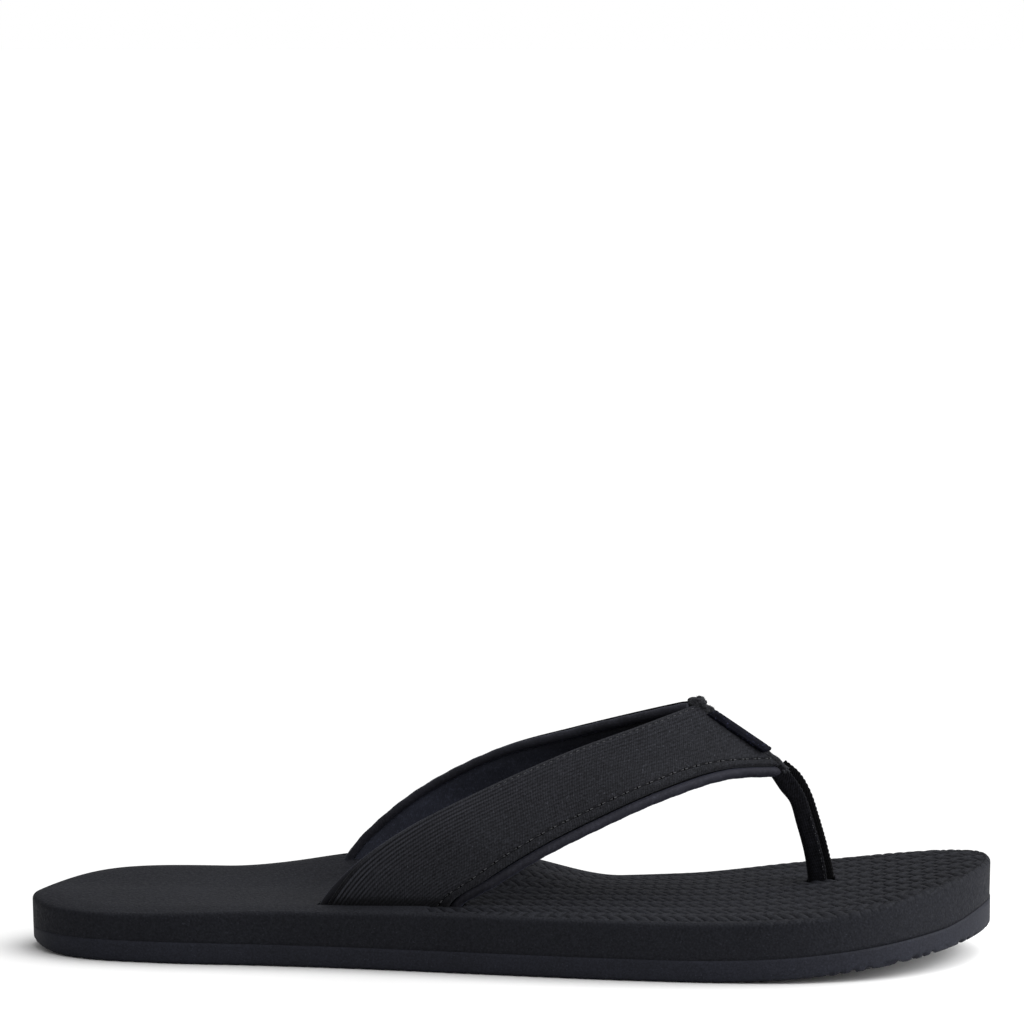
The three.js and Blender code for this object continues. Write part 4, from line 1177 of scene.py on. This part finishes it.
def rubber_material():
    """Outsole rubber: very dark navy, a little smoother than the foam, with a fine grain."""
    rubber = Finish("outsole_rubber", (0.0127, 0.0136, 0.0190), 0.7, 0.1)
    broad = rubber.noise(40, 3)
    color = rubber.flecked(rubber.ramp(broad, 0.88, 1.15), 1800, 0.76, 1.26)
    color = rubber.specked(color, rubber.noise(1900, 1), 0.67, 0.75, 1.9)
    grain = rubber.bump(rubber.noise(1300, 2), 0.35, 0.00015)
    return rubber.done(color, grain, rubber.remap(broad, 0.62, 0.78))


def textile_material(name, base, ribbed):
    """Textile with a soft sheen and pale lint; the ribbed one also shows threads, streaks, painted shade and
    highlights.
    """
    cloth = Finish(name, base, 0.9, 0.1, (0.05, 0.45, (0.75, 0.78, 0.9)))
    color = cloth.flecked(cloth.ramp(cloth.noise(55, 4), 0.85, 1.15), 1500, 0.55, 1.5)
    color = cloth.specked(color, cloth.noise(1250, 2, 0.7), 0.64, 0.71, 3.0)
    if not ribbed:
        return cloth.done(color, cloth.bump(cloth.noise(1600, 2), 0.8, 0.0002))
    both, along, across = cloth.cloth_place()
    threads = cloth.weave(along, across, 0.075, 0.0525)
    stretched = cloth.add("ShaderNodeMapping", {"Vector": both, "Scale": (5, 60, 1)})
    streaks = cloth.remap(cloth.noise(1.6, 3, 0.6, stretched), 0.5, 1.55, 0.38, 0.62)
    color = cloth.scaled(color, streaks)
    color = cloth.mix(cloth.remap(threads, 0.45, 0, -0.2, 0.7), color, shade(base, 0.35))
    # Painted shade in the rib gaps, the stitch valley and low on the strap; painted highlights on the rib
    # crests.
    relief_and_painted_shade = cloth.relief_and_painted_shade()
    color = cloth.mix(cloth.remap(relief_and_painted_shade, 0, 0.85, 0.48, 1.05), color, shade(base, 0.15))
    color = cloth.mix(cloth.remap(relief_and_painted_shade, 0.8, 0, 0.12, 0.5), color, shade(base, 3.0))
    weave = cloth.bump(threads, 0.55, 0.00012)
    return cloth.done(color, cloth.bump(cloth.noise(1500, 2), 0.4, 0.00012, weave))


def lining_material(name, base):
    """Smooth brushed lining, dark navy, with painted shade where its point attribute says."""
    cloth = Finish(name, base, 0.75, 0.15, (0.06, 0.35, (0.55, 0.6, 0.95)))
    _, along, across = cloth.cloth_place()
    knit = cloth.weave(along, across, 0.05, 0.04)
    color = cloth.ramp(cloth.noise(70, 4), 0.8, 1.3)
    color = cloth.mix(cloth.remap(knit, 0.6, 0, -0.2, 0.7), color, shade(base, 0.4))
    fuzz = cloth.remap(cloth.noise(1300, 2, 0.7), 0, 0.8, 0.52, 0.72)
    color = cloth.with_painted_shade(cloth.mix(fuzz, color, shade(base, 2.0)))
    yarns = cloth.bump(knit, 0.3, 0.00007)
    return cloth.done(color, cloth.bump(cloth.noise(260, 3), 0.35, 0.0004, yarns))


def webbing_material():
    """Black webbing: close slanting ribs of yarn, a slight sheen and painted shade where its point attribute
    says.
    """
    webbing = Finish("black_webbing", (0.0031, 0.0032, 0.0044), 0.8, 0.06, (0.015,))
    _, along, across = webbing.cloth_place()
    twill = webbing.calc("ADD", webbing.calc("MULTIPLY", along, 0.6), across)
    yarns = webbing.calc("MULTIPLY", webbing.wave(along, 0.09), 0.6)
    height = webbing.calc("ADD", webbing.wave(twill, 0.062), yarns)
    color = webbing.ramp(webbing.remap(height, 0, 1, -1.2, 1.2), 0.7, 1.7, 0.2, 0.9)
    flecks = webbing.remap(webbing.noise(1100, 3, 0.75), 0.4, 1.7, 0.36, 0.64)
    color = webbing.with_painted_shade(webbing.scaled(color, flecks))
    return webbing.done(color, webbing.bump(height, 0.45, 0.00012))


def plain_material(name, base, roughness, specular, scale):
    """A matte finish with a slight unevenness of colour, gloss and surface."""
    plain = Finish(name, base, roughness, specular)
    color = plain.ramp(plain.noise(60, 3), 0.8, 1.25)
    fine = plain.noise(scale, 2)
    gloss = plain.remap(fine, roughness - 0.08, roughness + 0.08)
    return plain.done(color, plain.bump(fine, 0.4, 0.00015), gloss)


def thread_material(name, base):
    """Twisted sewing thread."""
    thread = Finish(name, base, 0.6, 0.3, (0.05,))
    inputs = {"Vector": thread.place(), "Scale": 1500, "Distortion": 1.5}
    twist = thread.add("ShaderNodeTexWave", inputs, "Fac", bands_direction="DIAGONAL")
    return thread.done(thread.ramp(twist, 0.6, 1.6, 0.2, 0.9), thread.bump(twist, 0.6, 0.0001))


def label_material():
    """Blank patch with a finely ribbed surface and pale lint."""
    patch = Finish("blank_patch", (0.0018, 0.0020, 0.0040), 0.8, 0.05)
    _, along, across = patch.cloth_place()
    ribs = patch.calc("ADD", patch.wave(along, 0.07), patch.wave(across, 0.07))
    color = patch.ramp(patch.noise(160, 3), 0.7, 1.7)
    color = patch.specked(color, patch.noise(1300, 2, 0.7), 0.6, 0.7, 9.0)
    normal = patch.bump(patch.noise(900, 2), 0.3, 0.00012, patch.bump(ribs, 0.35, 0.00009))
    return patch.done(color, normal, patch.remap(patch.noise(300, 2), 0.7, 0.9))


MATERIALS = {
    "foam": foam_material(),
    "rubber": rubber_material(),
    "textile": textile_material("ribbed_textile", (0.0110, 0.0114, 0.0139), True),
    "textile_plain": textile_material("gathered_textile", (0.0165, 0.0170, 0.0195), False),
    "padding": plain_material("padding_foam", (0.0300, 0.0310, 0.0360), 0.9, 0.2, 900),
    "lining": lining_material("navy_lining", (0.0205, 0.0228, 0.0345)),
    "front_binding": lining_material("navy_binding", (0.0130, 0.0132, 0.0192)),
    "rear_binding": lining_material("dark_binding", (0.0098, 0.0102, 0.0148)),
    "webbing": webbing_material(),
    "thread": thread_material("charcoal_thread", (0.0250, 0.0257, 0.0290)),
    # A near-black blob stands in for the shade in each needle hole.
    "painted_hole_shade": plain_material("needle_hole_painted_shade", (0.0010, 0.0010, 0.0012), 0.9, 0.02, 800),
    "label": label_material(),
    "plastic": plain_material("anchor_plastic", (0.0100, 0.0100, 0.0120), 0.5, 0.4, 500),
}


def finish_piece(piece, slot, *nodes):
    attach(piece, "root")
    if nodes:
        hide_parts(*nodes)
    return piece


def dressed(piece, material, slot, *nodes):
    piece.data.materials.clear()
    piece.data.materials.append(MATERIALS[material])
    return finish_piece(piece, slot, *nodes)


def joined(name, parts, material, slot, *nodes):
    """Several meshes as one piece."""
    whole = bmesh.new()
    for part in parts:
        whole.from_mesh(part.data)
        bpy.data.objects.remove(part)
    mesh = bpy.data.meshes.new(name)
    whole.to_mesh(mesh)
    whole.free()
    smooth_shaded(mesh)
    return dressed(add_object(name, mesh), material, slot, *nodes)


# ---- Slots in the footbed ----

def post_slot_cutter():
    """A box around the toe post, through the whole footbed."""
    half_depth, half_width = POST_DEPTH / 2 + 0.35, POST_WIDTH / 2 + 0.3
    y = np.array([[-half_width, half_width]] * 2) + CREST_Y
    x = np.array([[-half_depth] * 2, [half_depth] * 2]) + POST_X
    low = np.stack([x, y, np.zeros((2, 2))], -1)
    return slab_piece("post_slot", low, low + [0, 0, 2 * DECK])


def slot_cutter(name):
    """A strap limb's slot, a little larger than the limb all round."""
    t = np.linspace(0, 0.34, 60)[:, None] * np.ones((1, 24))
    gap = SLOT_CLEARANCE / limb_width(name, t)
    w = -gap + (1 + 2 * gap) * np.linspace(0, 1, 24)[None, :]
    outer = limb_points(name, t, w, -SLOT_CLEARANCE - 0.2)
    inner = limb_points(name, t, w, STACK + 0.35 + SLOT_CLEARANCE)
    return slab_piece(f"slot_{name}", outer, inner)


def cut_footbed(piece):
    for cutter in (slot_cutter("lateral"), slot_cutter("medial"), post_slot_cutter()):
        modifier = piece.modifiers.new("cut", "BOOLEAN")
        modifier.operation = "DIFFERENCE"
        modifier.solver = "MANIFOLD"
        modifier.object = cutter
        mesh = evaluated_mesh(piece)
        piece.modifiers.clear()
        piece.data = mesh
        bpy.data.objects.remove(cutter)
    smooth_shaded(mesh)
    points = np.zeros(len(mesh.vertices) * 3)
    mesh.vertices.foreach_get("co", points)
    x, y, z = points.reshape(-1, 3).T / MM
    inset = np.minimum(y - edge_y(x, -1), edge_y(x, 1) - y)
    on_top = 1 - smooth(0.9, 1.6, deck_height(x, y, inset) - z)
    # Where the grains are, for their bumps and the painted shade in their gaps.
    set_relief_and_painted_shade(mesh, on_top * braid_area(x, y) * rim_fade(x, inset), "grained")
    return piece


# ---- Studio ----

CAMERA_ELEVATION = 9.5
CAMERA_AZIMUTH = 4.3
CAMERA_DISTANCE = 1500.0
CAMERA_TILT_UP = 4.02  # the sole sits low in the frame
CAMERA_TURN = 0.037
AIM = Vector((0, 1.5, 25)) * MM
LENS = 177.2
SKY_POWER = 2.9
SKY_SPREAD = 70
SKY_FACING = (-0.5, -0.18, -1)
ROOM_LIGHT = 0.46


def direction_of(azimuth, elevation):
    a, e = math.radians(azimuth), math.radians(elevation)
    return Vector((math.sin(a) * math.cos(e), -math.cos(a) * math.cos(e), math.sin(e)))


def aimed(data, facing):
    """A lamp or camera that looks in a direction."""
    thing = add_object(data.name, data)
    thing.rotation_mode = "QUATERNION"
    thing.rotation_quaternion = Vector(facing).to_track_quat("-Z", "Y")
    return thing


def build_camera():
    data = bpy.data.cameras.new("studio_camera")
    data.lens = LENS
    data.clip_start, data.clip_end = 0.05, 200
    camera = aimed(data, -direction_of(CAMERA_AZIMUTH - CAMERA_TURN, CAMERA_ELEVATION - CAMERA_TILT_UP))
    camera.location = AIM + direction_of(CAMERA_AZIMUTH, CAMERA_ELEVATION) * CAMERA_DISTANCE * MM
    bpy.context.scene.camera = camera


def build_floor():
    work = bmesh.new()
    bmesh.ops.create_grid(work, x_segments=2, y_segments=2, size=60)
    mesh = bpy.data.meshes.new("studio_floor")
    work.to_mesh(mesh)
    work.free()
    pale = Finish("pale_floor", (1, 1, 1), 0.9, 0.1)
    mesh.materials.append(pale.done(pale.ramp(pale.noise(3, 2), 0.83, 0.85, 0.2, 0.8)))
    add_object("studio_floor", mesh)


def area_lamp(name, power, size, place, facing, floor_only):
    """A panel that lights the floor alone, or everything but the floor so that shadows stay on it."""
    panel = bpy.data.lights.new(name, "AREA")
    panel.energy = power
    panel.size = size
    lamp = aimed(panel, facing)
    lamp.location = place
    lamp.visible_camera = False
    linked = bpy.data.collections.new(f"{name}_receivers")
    linked.objects.link(bpy.data.objects["studio_floor"])
    lamp.light_linking.receiver_collection = linked
    linked.collection_objects[0].light_linking.link_state = "INCLUDE" if floor_only else "EXCLUDE"


def build_lights():
    sky = bpy.data.lights.new("overhead_sky_panel", "SUN")
    sky.energy = SKY_POWER
    sky.angle = math.radians(SKY_SPREAD)
    aimed(sky, SKY_FACING)
    area_lamp("toe_side_panel", 15.5, 0.8, (1.05, -0.2, 0.5), (-1, 0.15, -0.5), False)
    area_lamp("toe_floor_card", 0.27, 0.12, (0.24, -0.05, 0.06), (-1, 0.3, -0.2), True)


def build_room():
    """Even light from all round, in front of a plain white backdrop."""
    world = bpy.data.worlds.new("studio_room")
    world.use_nodes = True
    bpy.context.scene.world = world
    tree = world.node_tree
    room = tree.nodes["Background"]
    plug(tree, room.inputs["Color"], (1, 1, 1))
    plug(tree, room.inputs["Strength"], ROOM_LIGHT)
    backdrop = add_node(tree, "ShaderNodeBackground", {"Color": (1, 1, 1)})
    seen = add_node(tree, "ShaderNodeLightPath", {}, "Is Camera Ray")
    both = add_node(tree, "ShaderNodeMixShader", {0: seen, 1: room.outputs[0], 2: backdrop})
    plug(tree, tree.nodes["World Output"].inputs["Surface"], both)


# ---- Assembly ----

def build_sole():
    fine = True
    footbed = cut_footbed(footbed_mesh(520 if fine else 400, 66 if fine else 50))
    dressed(footbed, "foam", "footbed_foam", "footbed")
    outsole = outsole_mesh(500 if fine else 400, 52 if fine else 40)
    dressed(outsole, "rubber", "outsole_rubber", "outsole")


def build_strap():
    stitches = stitch_tree(MATERIALS["thread"], MATERIALS["painted_hole_shade"])
    for name in STRAP_EDGES:
        face_piece(name)
        foam_piece(name)
        tape_piece(name)
        lining_piece(name)
        for edge in ("rear", "front"):
            binding_piece(name, edge)
            stitching_piece(name, edge, stitches)
    fibre_piece(crest_seam_piece())
    label_piece()
    post_piece()
    post_stitch_piece(stitches)


def dress_anchor_disc():
    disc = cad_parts["toe_anchor_disc"]
    disc.data.materials.clear()
    disc.data.materials.append(MATERIALS["plastic"])


bpy.context.scene.view_settings.view_transform = "Standard"
build_camera()
build_floor()
build_lights()
build_room()
build_sole()
build_strap()
dress_anchor_disc()
